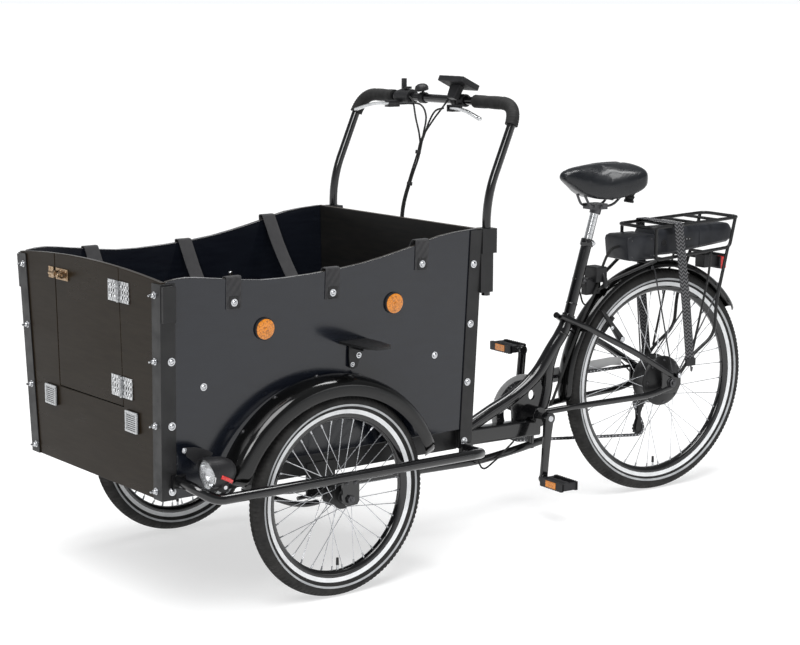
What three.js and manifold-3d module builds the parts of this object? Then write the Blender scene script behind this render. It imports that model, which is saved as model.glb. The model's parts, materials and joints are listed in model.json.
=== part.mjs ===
// Electric cargo tricycle with a plywood box between two steered front wheels.
//
// Millimetres, +Z up, +Y towards the rear wheel, +X the rider's left.
// The ground is z = 0 and the row's origin lies under the middle of the machine.
// Inside the file every part is placed from the steering pivot (the kingpin), which is y = 0 there.
import * as THREE from 'three';
import { mergeVertices } from 'three/addons/utils/BufferGeometryUtils.js';
import Module from 'manifold-3d';

const wasm = await Module();
wasm.setup();

// ---------------------------------------------------------------- driving dimensions
const GAP = 0.4;                      // clearance between neighbouring solids
const PIVOT_Y = -599;                 // kingpin in the row frame, so that the origin is mid-length
const STEER_ANGLE = THREE.MathUtils.degToRad(3.66); // the box stands turned this much

const REAR = { y: 1366, radius: 330, width: 46, rim: 281 };
const FRONT = { x: 376.5, radius: 250, width: 47, rim: 204 };

const BOX = {
  thickness: 12,
  bottom: 293,                        // underside of the front panel and the corner posts
  sideBottom: 345,                    // underside of the side and rear panels
  floorTop: 358,
  halfWidth: 321, sideLean: 0.0517,   // half width at the bottom, outward lean per mm of height
  front: -455, frontLean: -0.0214,    // front face at the bottom
  rear: 460, rearLean: 0.014,         // rear face at the bottom
};
const DOOR = { left: 155, right: -160, bottom: 490, gap: 2.5, pin: 7 };
const STRAP = { width: 40, thickness: 2.5, sag: 270, bolt: 60 };
const STRAPS = { strap_front: [-272, 801], strap_middle: [8, 799], strap_rear: [278, 847] };

const HOOP = { x: 426, z: 304, radius: 12.5 };
const FENDER = { y: -8, z: 215, radius: 328, from: 20, to: 160 };
const BAR = { x: 335, y: 498, topY: 600, top: 1173, radius: 11.2, base: 690 };
const LEVER = { left: 114, right: 157, y: 560, z: 1154 };  // the two levers' pivots
const SHIFTER_X = 122;

const BEAM = { top: 264, height: 46, width: 40 };
const KINGPIN_BOTTOM = 172;
const POST_TOP = 84;                  // how far the seat post stands out of its tube
const CRANK = { y: 912, z: 278, length: 170, offset: 88, chainLine: -48 };
const CRANK_ANGLE = THREE.MathUtils.degToRad(-97.4); // left arm, from +Y towards +Z
const SEAT = { y: 1057, z: 621, lean: [0.2915, 0.9566], top: 150, bore: 236, postRadius: 12.2 };
const RACK = {
  halfWidth: 76, front: 1279, rear: 1613, rod: 5,
  z: 790, rise: 0.042,                // height of the top at the front, and its rise towards the rear
  low: 697, lowRise: 0.066,           // the same for the lower rails
};
const BATTERY = { halfWidth: 48, front: 1312, rear: 1620, bottom: 706, top: 784 };

// ---------------------------------------------------------------- geometry helpers
const v = (x, y, z) => new THREE.Vector3(x, y, z);
const AXES = { x: v(1, 0, 0), y: v(0, 1, 0), z: v(0, 0, 1) };

function closed(geometry) {
  const bare = geometry.index ? geometry.toNonIndexed() : geometry.clone();
  bare.deleteAttribute('normal');
  bare.deleteAttribute('uv');
  return mergeVertices(bare, 1e-3);
}

function volume(geometry) {
  const g = closed(geometry);
  const p = g.attributes.position;
  const [a, b, c] = [v(), v(), v()];
  let sum = 0;
  for (let i = 0; i < g.index.count; i += 3) {
    a.fromBufferAttribute(p, g.index.getX(i));
    b.fromBufferAttribute(p, g.index.getX(i + 1));
    c.fromBufferAttribute(p, g.index.getX(i + 2));
    sum += a.dot(b.cross(c)) / 6;
  }
  return sum;
}

// Turns a geometry whose faces point inwards the right way out.
function outward(geometry) {
  const g = closed(geometry);
  if (volume(g) < 0) {
    const index = g.index.array;
    for (let i = 0; i < index.length; i += 3) [index[i], index[i + 1]] = [index[i + 1], index[i]];
  }
  return g;
}

function solid(geometry) {
  const g = outward(geometry);
  const mesh = new wasm.Mesh({
    numProp: 3,
    vertProperties: new Float32Array(g.attributes.position.array),
    triVerts: new Uint32Array(g.index.array),
  });
  mesh.merge();
  return new wasm.Manifold(mesh);
}

function geometryOf(manifold) {
  const mesh = manifold.getMesh();
  const g = new THREE.BufferGeometry();
  g.setAttribute('position', new THREE.BufferAttribute(new Float32Array(mesh.vertProperties), 3));
  g.setIndex(new THREE.BufferAttribute(new Uint32Array(mesh.triVerts), 1));
  return g;
}

const join = (...parts) => geometryOf(parts.map(solid).reduce((a, b) => a.add(b)));
const cut = (base, ...tools) => geometryOf(tools.map(solid).reduce((a, b) => a.subtract(b), solid(base)));

// A block given by its lowest and highest corners.
function block(low, high) {
  const g = new THREE.BoxGeometry(high[0] - low[0], high[1] - low[1], high[2] - low[2]);
  return g.translate((low[0] + high[0]) / 2, (low[1] + high[1]) / 2, (low[2] + high[2]) / 2);
}

// A round bar from one point to another; a second radius makes it a cone.
function rod(from, to, radius, sides = 10, endRadius = radius) {
  const [a, b] = [v(...from), v(...to)];
  const g = new THREE.CylinderGeometry(endRadius, radius, a.distanceTo(b), sides);
  g.applyQuaternion(new THREE.Quaternion().setFromUnitVectors(AXES.y, b.clone().sub(a).normalize()));
  return g.translate(...a.add(b).divideScalar(2).toArray());
}

// A path that keeps exactly the points it is given. With a side vector the section never twists.
class Route extends THREE.Curve {
  constructor(points, side) {
    super();
    this.points = points;
    this.side = side;
  }

  getPoint(t) {
    const place = t * (this.points.length - 1);
    const i = Math.min(Math.floor(place), this.points.length - 2);
    return this.points[i].clone().lerp(this.points[i + 1], place - i);
  }

  getPointAt(u) {
    return this.getPoint(u);
  }

  getTangentAt(u) {
    const i = Math.round(u * (this.points.length - 1));
    const here = this.points[i];
    const ahead = (this.points[i + 1] ?? here).clone().sub(here).normalize();
    const behind = here.clone().sub(this.points[i - 1] ?? here).normalize();
    return ahead.add(behind).normalize();
  }

  getSpacedPoints() {
    return this.points.map((p) => p.clone());
  }

  computeFrenetFrames(segments, isClosed) {
    if (!this.side) return super.computeFrenetFrames(segments, isClosed);
    const tangents = this.points.map((_, i) => this.getTangentAt(i / segments));
    const normals = tangents.map(() => this.side.clone());
    const binormals = tangents.map((t) => new THREE.Vector3().crossVectors(t, this.side).normalize());
    return { tangents, normals, binormals };
  }
}

// Rounds the corners of a polyline; each bend gets the given number of steps.
function rounded(corners, radius, steps = 4) {
  const points = corners.map((c) => v(...c));
  const out = [points[0]];
  for (let i = 1; i < points.length - 1; i += 1) {
    const before = points[i - 1].clone().sub(points[i]);
    const after = points[i + 1].clone().sub(points[i]);
    const reach = Math.min(radius, before.length() * 0.45, after.length() * 0.45);
    const start = points[i].clone().add(before.setLength(reach));
    const end = points[i].clone().add(after.setLength(reach));
    const bend = new THREE.QuadraticBezierCurve3(start, points[i], end);
    out.push(...bend.getPoints(steps));
  }
  out.push(points[points.length - 1]);
  return out;
}

function polygonShape(points) {
  return new THREE.Shape(points.map(([x, y]) => new THREE.Vector2(x, y)));
}

function circlePoints(radius, sides) {
  return Array.from({ length: sides }, (_, i) => {
    const a = (2 * Math.PI * (i + 0.5)) / sides;
    return [radius * Math.cos(a), radius * Math.sin(a)];
  });
}

function sweep(section, points, side) {
  const extrudePath = new Route(points, side);
  const options = { steps: points.length - 1, extrudePath, bevelEnabled: false };
  return new THREE.ExtrudeGeometry(polygonShape(section), options);
}

const tube = (points, radius, sides = 10) => sweep(circlePoints(radius, sides), points);
const bentTube = (corners, radius, bendRadius, sides = 10, steps = 4) =>
  tube(rounded(corners, bendRadius, steps), radius, sides);
const curvePoints = (corners, count) =>
  new THREE.CatmullRomCurve3(corners.map((c) => v(...c))).getPoints(count);

// A plate whose outline is drawn in (y, z) and which lies between two x values.
function sidePlate(outline, x0, x1, holes = []) {
  const shape = polygonShape(outline);
  shape.holes = holes.map((h) => polygonShape(h));
  const g = new THREE.ExtrudeGeometry(shape, { depth: x1 - x0, bevelEnabled: false });
  g.applyMatrix4(new THREE.Matrix4().makeBasis(AXES.y, AXES.z, AXES.x));
  return g.translate(x0, 0, 0);
}

// A plate whose outline is drawn in (x, z) and which lies between two y values.
function crossPlate(outline, y0, y1) {
  const g = new THREE.ExtrudeGeometry(polygonShape(outline), { depth: y1 - y0, bevelEnabled: false });
  g.applyMatrix4(new THREE.Matrix4().makeBasis(AXES.x, AXES.z, v(0, -1, 0)));
  return g.translate(0, y1, 0);
}

// Leans a solid: x and y grow with the height above the box's bottom edge.
function lean(geometry, dx, dy) {
  const shear = new THREE.Matrix4().set(
    1, 0, dx, -dx * BOX.bottom, 0, 1, dy, -dy * BOX.bottom, 0, 0, 1, 0, 0, 0, 0, 1,
  );
  return geometry.applyMatrix4(shear);
}

// A solid of revolution about the X axis, from a profile of (radius, x) pairs.
function turned(profile, segments, centre) {
  const points = profile.map(([r, x]) => new THREE.Vector2(r, x));
  const g = new THREE.LatheGeometry(points, segments);
  g.rotateZ(-Math.PI / 2);
  return outward(g).translate(...centre);
}

// A body lofted through closed rings that all have the same number of points.
function loft(rings) {
  const count = rings[0].length;
  const position = rings.flat().flatMap((p) => p.toArray());
  const index = [];
  for (let r = 0; r < rings.length - 1; r += 1) {
    for (let i = 0; i < count; i += 1) {
      const [a, b] = [r * count + i, r * count + ((i + 1) % count)];
      index.push(a, b, b + count, a, b + count, a + count);
    }
  }
  const last = (rings.length - 1) * count;
  for (let i = 1; i < count - 1; i += 1) {
    index.push(0, i + 1, i, last, last + i, last + i + 1);
  }
  const g = new THREE.BufferGeometry();
  g.setAttribute('position', new THREE.Float32BufferAttribute(position, 3));
  g.setIndex(index);
  return outward(g);
}

const mirrored = (geometry) => outward(geometry.clone().scale(-1, 1, 1));

// ---------------------------------------------------------------- materials
const MATERIALS = {
  plywood: [0x2b2825, 0.45, 0.0],
  frontPly: [0x33291f, 0.4, 0.0],
  blackMetal: [0x111213, 0.3, 0.6],
  darkSteel: [0x24262a, 0.45, 0.7],
  galvanised: [0x9fa3a5, 0.4, 0.9],
  aluminium: [0xc9cccf, 0.3, 1.0],
  rubber: [0x2c2c2e, 0.85, 0.0],
  blackPlastic: [0x17181a, 0.5, 0.0],
  glossPlastic: [0x0d0d0e, 0.15, 0.0],
  webbing: [0x3b3a3c, 0.9, 0.0],
  leather: [0x141416, 0.4, 0.0],
  greyPlastic: [0x9c9c9c, 0.35, 0.0],
  brass: [0x9a6b3f, 0.35, 1.0],
  lamp: [0xd8dadb, 0.1, 0.4],
};
const names = new Set();

function part(group, name, geometry, look) {
  if (names.has(name)) throw new Error(`two parts are called ${name}`);
  names.add(name);
  const [color, roughness, metalness] = MATERIALS[look];
  const mesh = new THREE.Mesh(geometry, new THREE.MeshStandardMaterial({ color, roughness, metalness }));
  mesh.name = name;
  group.add(mesh);
  return mesh;
}

// ---------------------------------------------------------------- cargo box
const sideFace = (z) => BOX.halfWidth + BOX.sideLean * (z - BOX.bottom);
const frontFace = (z) => BOX.front + BOX.frontLean * (z - BOX.bottom);
const rearFace = (z) => BOX.rear + BOX.rearLean * (z - BOX.bottom);
const frontTop = (x) => 824 - 18 * (x / 349) ** 2;

// The wavy top edge of the side panels, from front to rear.
const SIDE_TOP = [
  [-466, 805], [-400, 813], [-300, 802], [-160, 789], [60, 801], [228, 830], [345, 857], [480, 867],
];

function sideTopEdge(from, to) {
  const curve = new THREE.SplineCurve(SIDE_TOP.map(([y, z]) => new THREE.Vector2(y, z)));
  const inner = curve.getPoints(20).filter((p) => p.x > from + 4 && p.x < to - 4);
  return [[from, SIDE_TOP[0][1]], ...inner.map((p) => [p.x, p.y]), [to, 865.5]];
}

function sidePanel() {
  const inset = BOX.thickness + GAP;
  const frontAt = (z) => frontFace(z) + inset;
  const rearAt = (z) => rearFace(z) - inset;
  const bottom = [
    [rearAt(BOX.sideBottom), BOX.sideBottom],
    [-300, BOX.sideBottom],
    [-330, BOX.bottom],
    [frontAt(BOX.bottom), BOX.bottom],
  ];
  const outline = [...sideTopEdge(frontAt(806), rearAt(865)), ...bottom];
  return lean(sidePlate(outline, BOX.halfWidth - BOX.thickness, BOX.halfWidth), BOX.sideLean, 0);
}

function frontOutline() {
  const reach = (z) => sideFace(z);
  const top = Array.from({ length: 15 }, (_, i) => {
    const x = reach(806) * (1 - i / 7);
    return [x, frontTop(x)];
  });
  return [[-reach(BOX.bottom), BOX.bottom], [reach(BOX.bottom), BOX.bottom], ...top];
}

function frontPanel() {
  const whole = crossPlate(frontOutline(), BOX.front, BOX.front + BOX.thickness);
  const opening = block(
    [DOOR.right - DOOR.gap, BOX.front - 5, DOOR.bottom - DOOR.gap],
    [DOOR.left + 1, BOX.front + BOX.thickness + 5, 900],
  );
  return lean(cut(whole, opening), 0, BOX.frontLean);
}

function frontDoor() {
  const count = 8;
  const top = Array.from({ length: count + 1 }, (_, i) => {
    const x = DOOR.left + ((DOOR.right - DOOR.left) * i) / count;
    return [x, frontTop(x)];
  });
  const outline = [[DOOR.right, DOOR.bottom], [DOOR.left, DOOR.bottom], ...top];
  return lean(crossPlate(outline, BOX.front, BOX.front + BOX.thickness), 0, BOX.frontLean);
}

function rearPanel() {
  const low = BOX.sideBottom;
  const outline = [[-sideFace(low), low], [sideFace(low), low], [sideFace(865), 865], [-sideFace(865), 865]];
  return lean(crossPlate(outline, BOX.rear - BOX.thickness, BOX.rear), 0, BOX.rearLean);
}

function floorPanel() {
  const low = BOX.floorTop - BOX.thickness;
  const inset = BOX.thickness + GAP;
  const x = sideFace(low) - inset;
  return block([-x, frontFace(low) + inset, low], [x, rearFace(low) - inset, BOX.floorTop]);
}

// An outside angle that wraps one corner of the box; end is -1 at the front and 1 at the rear.
function cornerAngle(end, top) {
  const leg = 36;
  const face = end < 0 ? BOX.front : BOX.rear;
  const slope = end < 0 ? BOX.frontLean : BOX.rearLean;
  const [x, y] = [BOX.halfWidth + GAP, face + end * GAP];
  const plan = [
    [x, y - end * leg], [x + 3, y - end * leg], [x + 3, y + end * 3], [x - leg, y + end * 3],
    [x - leg, y], [x, y],
  ];
  const g = new THREE.ExtrudeGeometry(polygonShape(plan), { depth: top - BOX.bottom, bevelEnabled: false });
  return lean(g.translate(0, 0, BOX.bottom), BOX.sideLean, slope);
}

function frontPost() {
  const pad = block([BOX.halfWidth + 1, BOX.front - 2, 714], [BOX.halfWidth + 14, BOX.front + 32, 798]);
  return join(cornerAngle(-1, 803), lean(pad, BOX.sideLean, BOX.frontLean));
}

// The rear angles carry the blocks that hold the handlebar tubes.
function rearPost() {
  const face = rearFace(860) + 2;
  const upper = block([BAR.x - 20, face, 800], [BAR.x + 20, BAR.y + 19, 863]);
  const lower = block([BAR.x - 17, face - 2, 700], [BAR.x + 17, BAR.y + 10, 801]);
  const bore = rod([BAR.x, BAR.y, BAR.base - 8], [BAR.x, BAR.y, 900], BAR.radius + 1, 16);
  return cut(join(cornerAngle(1, 862), upper, lower), bore);
}

function hinge(z) {
  const y = frontFace(z) - DOOR.pin;
  const pin = rod([DOOR.left + 1, y, z - 25], [DOOR.left + 1, y, z + 25], 4.5, 8);
  const leaf = block([DOOR.left + 1, y - 1.5, z - 25], [DOOR.left + 53, frontFace(z) - 0.9, z + 25]);
  return join(pin, leaf);
}

function latchBarrel() {
  const y = frontFace(772);
  const plate = block([-152, y - 4, 758], [-92, y - 0.9, 786]);
  const guide = block([-150, y - 18, 762], [-112, y - 3, 782]);
  return cut(join(plate, guide), rod([-160, y - 10.5, 772], [-80, y - 10.5, 772], 5, 12));
}

function latchBolt() {
  const y = frontFace(772) - 10.5;
  return join(rod([-174, y, 772], [-96, y, 772], 4, 8), rod([-104, y, 772], [-104, y - 16, 772], 3, 8));
}

// One webbing strap: bolted outside both panels, folded over their top edges and hanging between them.
function boxStrap(y, edge) {
  const half = STRAP.thickness / 2;
  const off = half + GAP;
  const outer = sideFace(edge) + off;
  const inner = sideFace(edge) - BOX.thickness - off - 1;
  const over = edge + off + 2;
  const sagging = Array.from({ length: 15 }, (_, i) => {
    const x = inner * (1 - i / 7);
    return v(x, y, over - 4 - STRAP.sag * (1 - (x / inner) ** 2));
  });
  const low = edge - STRAP.bolt - 12;
  const left = [v(sideFace(low) + off, y, low), v(outer, y, over), v(inner, y, over)];
  const right = left.map((p) => v(-p.x, p.y, p.z)).reverse();
  const section = [
    [-STRAP.width / 2, -half], [STRAP.width / 2, -half], [STRAP.width / 2, half],
    [-STRAP.width / 2, half],
  ];
  return sweep(section, [...left, ...sagging, ...right], v(0, 1, 0));
}

function addBox(group) {
  part(group, 'box_side_left', sidePanel(), 'plywood');
  part(group, 'box_side_right', mirrored(sidePanel()), 'plywood');
  part(group, 'box_front_panel', frontPanel(), 'frontPly');
  part(group, 'box_rear_panel', rearPanel(), 'plywood');
  part(group, 'box_floor', floorPanel(), 'plywood');
  part(group, 'post_front_left', frontPost(), 'blackMetal');
  part(group, 'post_front_right', mirrored(frontPost()), 'blackMetal');
  part(group, 'post_rear_left', rearPost(), 'blackMetal');
  part(group, 'post_rear_right', mirrored(rearPost()), 'blackMetal');
  part(group, 'front_door', frontDoor(), 'frontPly');
  part(group, 'hinge_upper', hinge(764), 'galvanised');
  part(group, 'hinge_lower', hinge(537), 'galvanised');
  part(group, 'latch_barrel', latchBarrel(), 'galvanised');
  part(group, 'latch_bolt', latchBolt(), 'brass');
  for (const [name, [y, edge]] of Object.entries(STRAPS)) part(group, name, boxStrap(y, edge), 'webbing');
}

// ---------------------------------------------------------------- steered chassis
function steeringFrame() {
  const top = BOX.floorTop - BOX.thickness - GAP;
  const low = top - 30;
  const railLow = top - 55;
  const rails = [-1, 1].map(
    (s) => block([s > 0 ? 278 : -306, -425, railLow], [s > 0 ? 306 : -278, 430, top]),
  );
  const cross = [-425, -15, 200].map((y) => block([-300, y, low], [300, y + 30, top]));
  const rearCross = block([-316, 428, BOX.bottom], [316, 446, top - 3]);
  const plates = [-1, 1].map((s) => block([s > 0 ? 302 : -310, -42, 232], [s > 0 ? 310 : -302, 42, low + 5]));
  const kingpin = rod([0, 0, KINGPIN_BOTTOM], [0, 0, low + 5], 13, 16);
  const collar = rod([0, 0, BEAM.top + 3], [0, 0, low + 5], 26, 16);
  return join(...rails, ...cross, rearCross, ...plates, kingpin, collar);
}

// The outer hoop beside a front wheel, with its axle plate and stub axle.
function sideBar() {
  const { x, z, radius } = HOOP;
  const corners = [
    [336, -418, z + 34], [x - 24, -414, z + 28], [x, -374, z + 1],
    [x, 395, z], [x - 18, 432, z - 6], [342, 432, z - 8],
  ];
  const hoop = bentTube(corners, radius, 42, 8, 3);
  const frontTab = block([328.9, -436, z + 18], [338, -402, z + 50]);
  const rearTab = block([328.9, 418, z - 24], [344, 446, z + 8]);
  const plate = sidePlate([[-22, z], [-20, 243], [-7, 233], [22, 234], [28, 243], [28, z]], x - 3, x + 3);
  const axle = rod([311, 0, FRONT.radius], [x + 14, 0, FRONT.radius], 6, 10);
  return join(hoop, frontTab, rearTab, plate, axle);
}

function frontFender() {
  const { y, z, radius, from, to } = FENDER;
  const centre = 371;
  const skin = [[-34, 0], [-10, 3], [16, 0], [30, -9], [35, -22], [36.5, -42]];
  const inner = [[33.5, -42], [32, -23], [27.5, -12], [14, -3], [-10, 0], [-34, -3]];
  const section = [...skin, ...inner].map(([x, r]) => [-x, r]);
  const points = Array.from({ length: 19 }, (_, i) => {
    const a = THREE.MathUtils.degToRad(to + ((from - to) * i) / 18);
    return v(centre, y + radius * Math.cos(a), z + radius * Math.sin(a));
  });
  return sweep(section, points, v(-1, 0, 0));
}

function headlamp() {
  const [x, y, z] = [402, -350, 365];
  const profile = [
    [0, 42], [24, 41], [36, 34], [37.5, 26], [36, 6], [30, -14], [20, -30], [8, -37], [0, -38],
  ];
  const body = turned(profile, 18, [0, 0, 0]).rotateZ(-Math.PI / 2).translate(x, y, z);
  return join(body, block([x + 8, y - 8, HOOP.z + HOOP.radius + 4], [x + 24, y + 8, z - 20]));
}

function sideStep() {
  const z = 613;
  const wall = sideFace(z) + 0.8;
  const plan = [
    [wall, 33], [wall + 118, 44], [wall + 132, 56], [wall + 132, 92], [wall + 118, 104], [wall, 117],
  ];
  const g = new THREE.ExtrudeGeometry(polygonShape(plan), { depth: 6, bevelEnabled: false });
  const leg = block([wall + 1, 62, z - 66], [wall + 5, 92, z + 3]);
  const gusset = block([wall + 3, 74, z - 16], [wall + 44, 77, z + 3]);
  return join(g.translate(0, 0, z), leg, gusset);
}

// ---------------------------------------------------------------- handlebar and controls
function barCorners() {
  const side = [[BAR.x, BAR.y, BAR.base], [BAR.x, BAR.y, 940], [BAR.x, BAR.topY, BAR.top]];
  return [...side, ...side.map(([x, y, z]) => [-x, y, z]).reverse()];
}

const barRoute = () => rounded(barCorners(), 66, 5);

function handGrip(inboard) {
  const bend = barRoute().filter((p) => p.x > 200 && p.z > 1120);
  const outer = [...bend, v(inboard, BAR.topY, BAR.top)];
  const ahead = bend[0].clone().sub(bend[1]).setLength(2);
  const inner = [bend[0].clone().add(ahead), ...bend.slice(1), v(inboard - 5, BAR.topY, BAR.top)];
  return cut(tube(outer, 17, 10), tube(inner, BAR.radius + 1.1, 10));
}

// A clamp round the bar with a short arm that carries the lever's pivot.
function leverMount(x, extra) {
  const { y, z } = LEVER;
  const clamp = rod([x - 12, BAR.topY, BAR.top], [x + 12, BAR.topY, BAR.top], 17, 14);
  const arm = block([x - 11, y - 8, z - 9], [x + 11, BAR.topY - 12, z + 9]);
  const slot = block([x - 7, y - 20, z - 4.6], [x + 30, y + 19, z + 4.6]);
  const bore = rod([x - 60, BAR.topY, BAR.top], [x + 60, BAR.topY, BAR.top], BAR.radius + 1, 16);
  return cut(join(clamp, arm, ...extra), slot, bore);
}

// The blade runs outwards from its pivot and droops towards the tip.
function brakeLever(x) {
  const { y, z } = LEVER;
  const route = [
    [x - 4, y, z], [x + 34, y - 3, z], [x + 74, y - 8, z - 5], [x + 112, y - 13, z - 15],
    [x + 136, y - 15, z - 22],
  ];
  const section = [[-5.5, -4], [5.5, -4], [5.5, 4], [-5.5, 4]];
  return outward(sweep(section, route.map((p) => v(...p)), v(0, 1, 0)));
}

function shifterPod() {
  return rod([SHIFTER_X - 18, BAR.topY, BAR.top], [LEVER.right - 5, BAR.topY, BAR.top], 21, 14);
}

function shifterLever() {
  const [x, y, z] = [-SHIFTER_X, BAR.topY, BAR.top + 21.6];
  return join(
    rod([x, y - 2, z], [x, y - 2, z + 6], 10, 12),
    block([x - 18, y - 8, z], [x, y + 4, z + 5]),
    block([x - 20, y - 10, z], [x - 11, y + 2, z + 28]),
  );
}

// The display leans with its front edge up, so that the rider looks straight at it.
function displayUnit() {
  const slab = new THREE.BoxGeometry(100, 62, 15).rotateX(THREE.MathUtils.degToRad(-25));
  slab.translate(108, BAR.topY - 12, BAR.top + 46);
  const clamp = rod([76, BAR.topY, BAR.top], [96, BAR.topY, BAR.top], 16, 14);
  const neck = block([80, BAR.topY - 12, BAR.top + 8], [92, BAR.topY + 2, BAR.top + 35]);
  const bore = rod([60, BAR.topY, BAR.top], [110, BAR.topY, BAR.top], BAR.radius + 1, 16);
  return cut(join(slab, clamp, neck), bore);
}

// The brake and motor leads, tied together below the bar and led down behind the box.
function controlCables() {
  const trunk = curvePoints([
    [0, 482, 352], [0, 484, 560], [0, 484, 780], [-2, 488, 880], [8, 505, 960], [20, 530, 1040],
    [26, 544, 1080],
  ], 18);
  const leads = [
    [[24, 542, 1070], [36, 548, 1118], [70, 540, 1148], [LEVER.left - 16, LEVER.y - 14, LEVER.z]],
    [[22, 538, 1060], [2, 556, 1110], [-70, 544, 1146], [-LEVER.right + 16, LEVER.y - 14, LEVER.z]],
  ];
  return join(tube(trunk, 5, 8), ...leads.map((route) => tube(curvePoints(route, 8), 2.6, 6)));
}

function addFrontAssembly(group) {
  part(group, 'steering_frame', steeringFrame(), 'blackMetal');
  part(group, 'side_bar_left', sideBar(), 'blackMetal');
  part(group, 'side_bar_right', mirrored(sideBar()), 'blackMetal');
  part(group, 'fender_front_left', frontFender(), 'glossPlastic');
  part(group, 'fender_front_right', mirrored(frontFender()), 'glossPlastic');
  part(group, 'headlamp', headlamp(), 'lamp');
  part(group, 'side_step', sideStep(), 'blackPlastic');
  part(group, 'handlebar', tube(barRoute(), BAR.radius, 10), 'blackMetal');
  part(group, 'grip_left', handGrip(165), 'rubber');
  part(group, 'grip_right', mirrored(handGrip(186)), 'rubber');
  part(group, 'brake_mount_left', leverMount(LEVER.left, []), 'blackPlastic');
  part(group, 'brake_mount_right', mirrored(leverMount(LEVER.right, [shifterPod()])), 'blackPlastic');
  part(group, 'brake_lever_left', brakeLever(LEVER.left), 'aluminium');
  part(group, 'brake_lever_right', mirrored(brakeLever(LEVER.right)), 'aluminium');
  part(group, 'shifter_lever', shifterLever(), 'blackPlastic');
  part(group, 'display', displayUnit(), 'blackPlastic');
  part(group, 'control_cables', controlCables(), 'rubber');
}

// ---------------------------------------------------------------- wheels
function tyre(radius, width, rim, centre) {
  const half = width / 2;
  const profile = [
    [rim + 2, -half * 0.45], [rim + 12, -half * 0.85], [radius - 18, -half], [radius - 7, -half * 0.72],
    [radius, 0],
    [radius - 7, half * 0.72], [radius - 18, half], [rim + 12, half * 0.85], [rim + 2, half * 0.45],
    [rim + 2, -half * 0.45],
  ];
  return turned(profile, 36, centre);
}

// Rim, spokes and hub laced into one wheel; the hub profile decides what kind of hub it is.
function lacedWheel({ rim, flange, hubProfile, bore, spokes }) {
  const rimProfile = [[rim - 16, -8], [rim, -13], [rim, 13], [rim - 16, 8], [rim - 16, -8]];
  const parts = [turned(rimProfile, spokes, [0, 0, 0]), turned(hubProfile, 18, [0, 0, 0])];
  for (let i = 0; i < spokes; i += 1) {
    const a = (2 * Math.PI * (i + 0.5)) / spokes;
    const lead = a + (i % 2 ? 1 : -1) * flange.lead;
    const x = i % 2 ? flange.left : flange.right;
    const from = [x, flange.radius * Math.cos(lead), flange.radius * Math.sin(lead)];
    const to = [0, (rim - 12) * Math.cos(a), (rim - 12) * Math.sin(a)];
    parts.push(rod(from, to, 1.5, 3));
  }
  const axleBore = rod([-120, 0, 0], [120, 0, 0], bore, 14);
  return cut(join(...parts), axleBore);
}

function frontWheel() {
  const hubProfile = [
    [0, -30], [14, -30], [28, -24], [28, -19], [16, -15], [16, 15], [28, 19], [28, 24], [14, 30],
    [0, 30],
  ];
  return lacedWheel({
    rim: FRONT.rim, flange: { radius: 25, left: 21, right: -21, lead: 1.1 }, hubProfile, bore: 8,
    spokes: 28,
  });
}

function rearWheel() {
  const hubProfile = [[0, -28], [40, -28], [62, -24], [70, -16], [70, 34], [60, 44], [30, 52], [0, 52]];
  return lacedWheel({
    rim: REAR.rim, flange: { radius: 66, left: 26, right: -14, lead: 0.7 }, hubProfile, bore: 8,
    spokes: 32,
  });
}

function addFrontWheel(group, name, x) {
  const centre = [x, 0, FRONT.radius];
  part(group, `tyre_front_${name}`, tyre(FRONT.radius, FRONT.width, FRONT.rim, centre), 'rubber');
  part(group, `wheel_front_${name}`, frontWheel().translate(...centre), 'aluminium');
}

// ---------------------------------------------------------------- rear frame
function seatAxisPoint(distance) {
  return [0, SEAT.y + SEAT.lean[0] * distance, SEAT.z + SEAT.lean[1] * distance];
}

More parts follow.
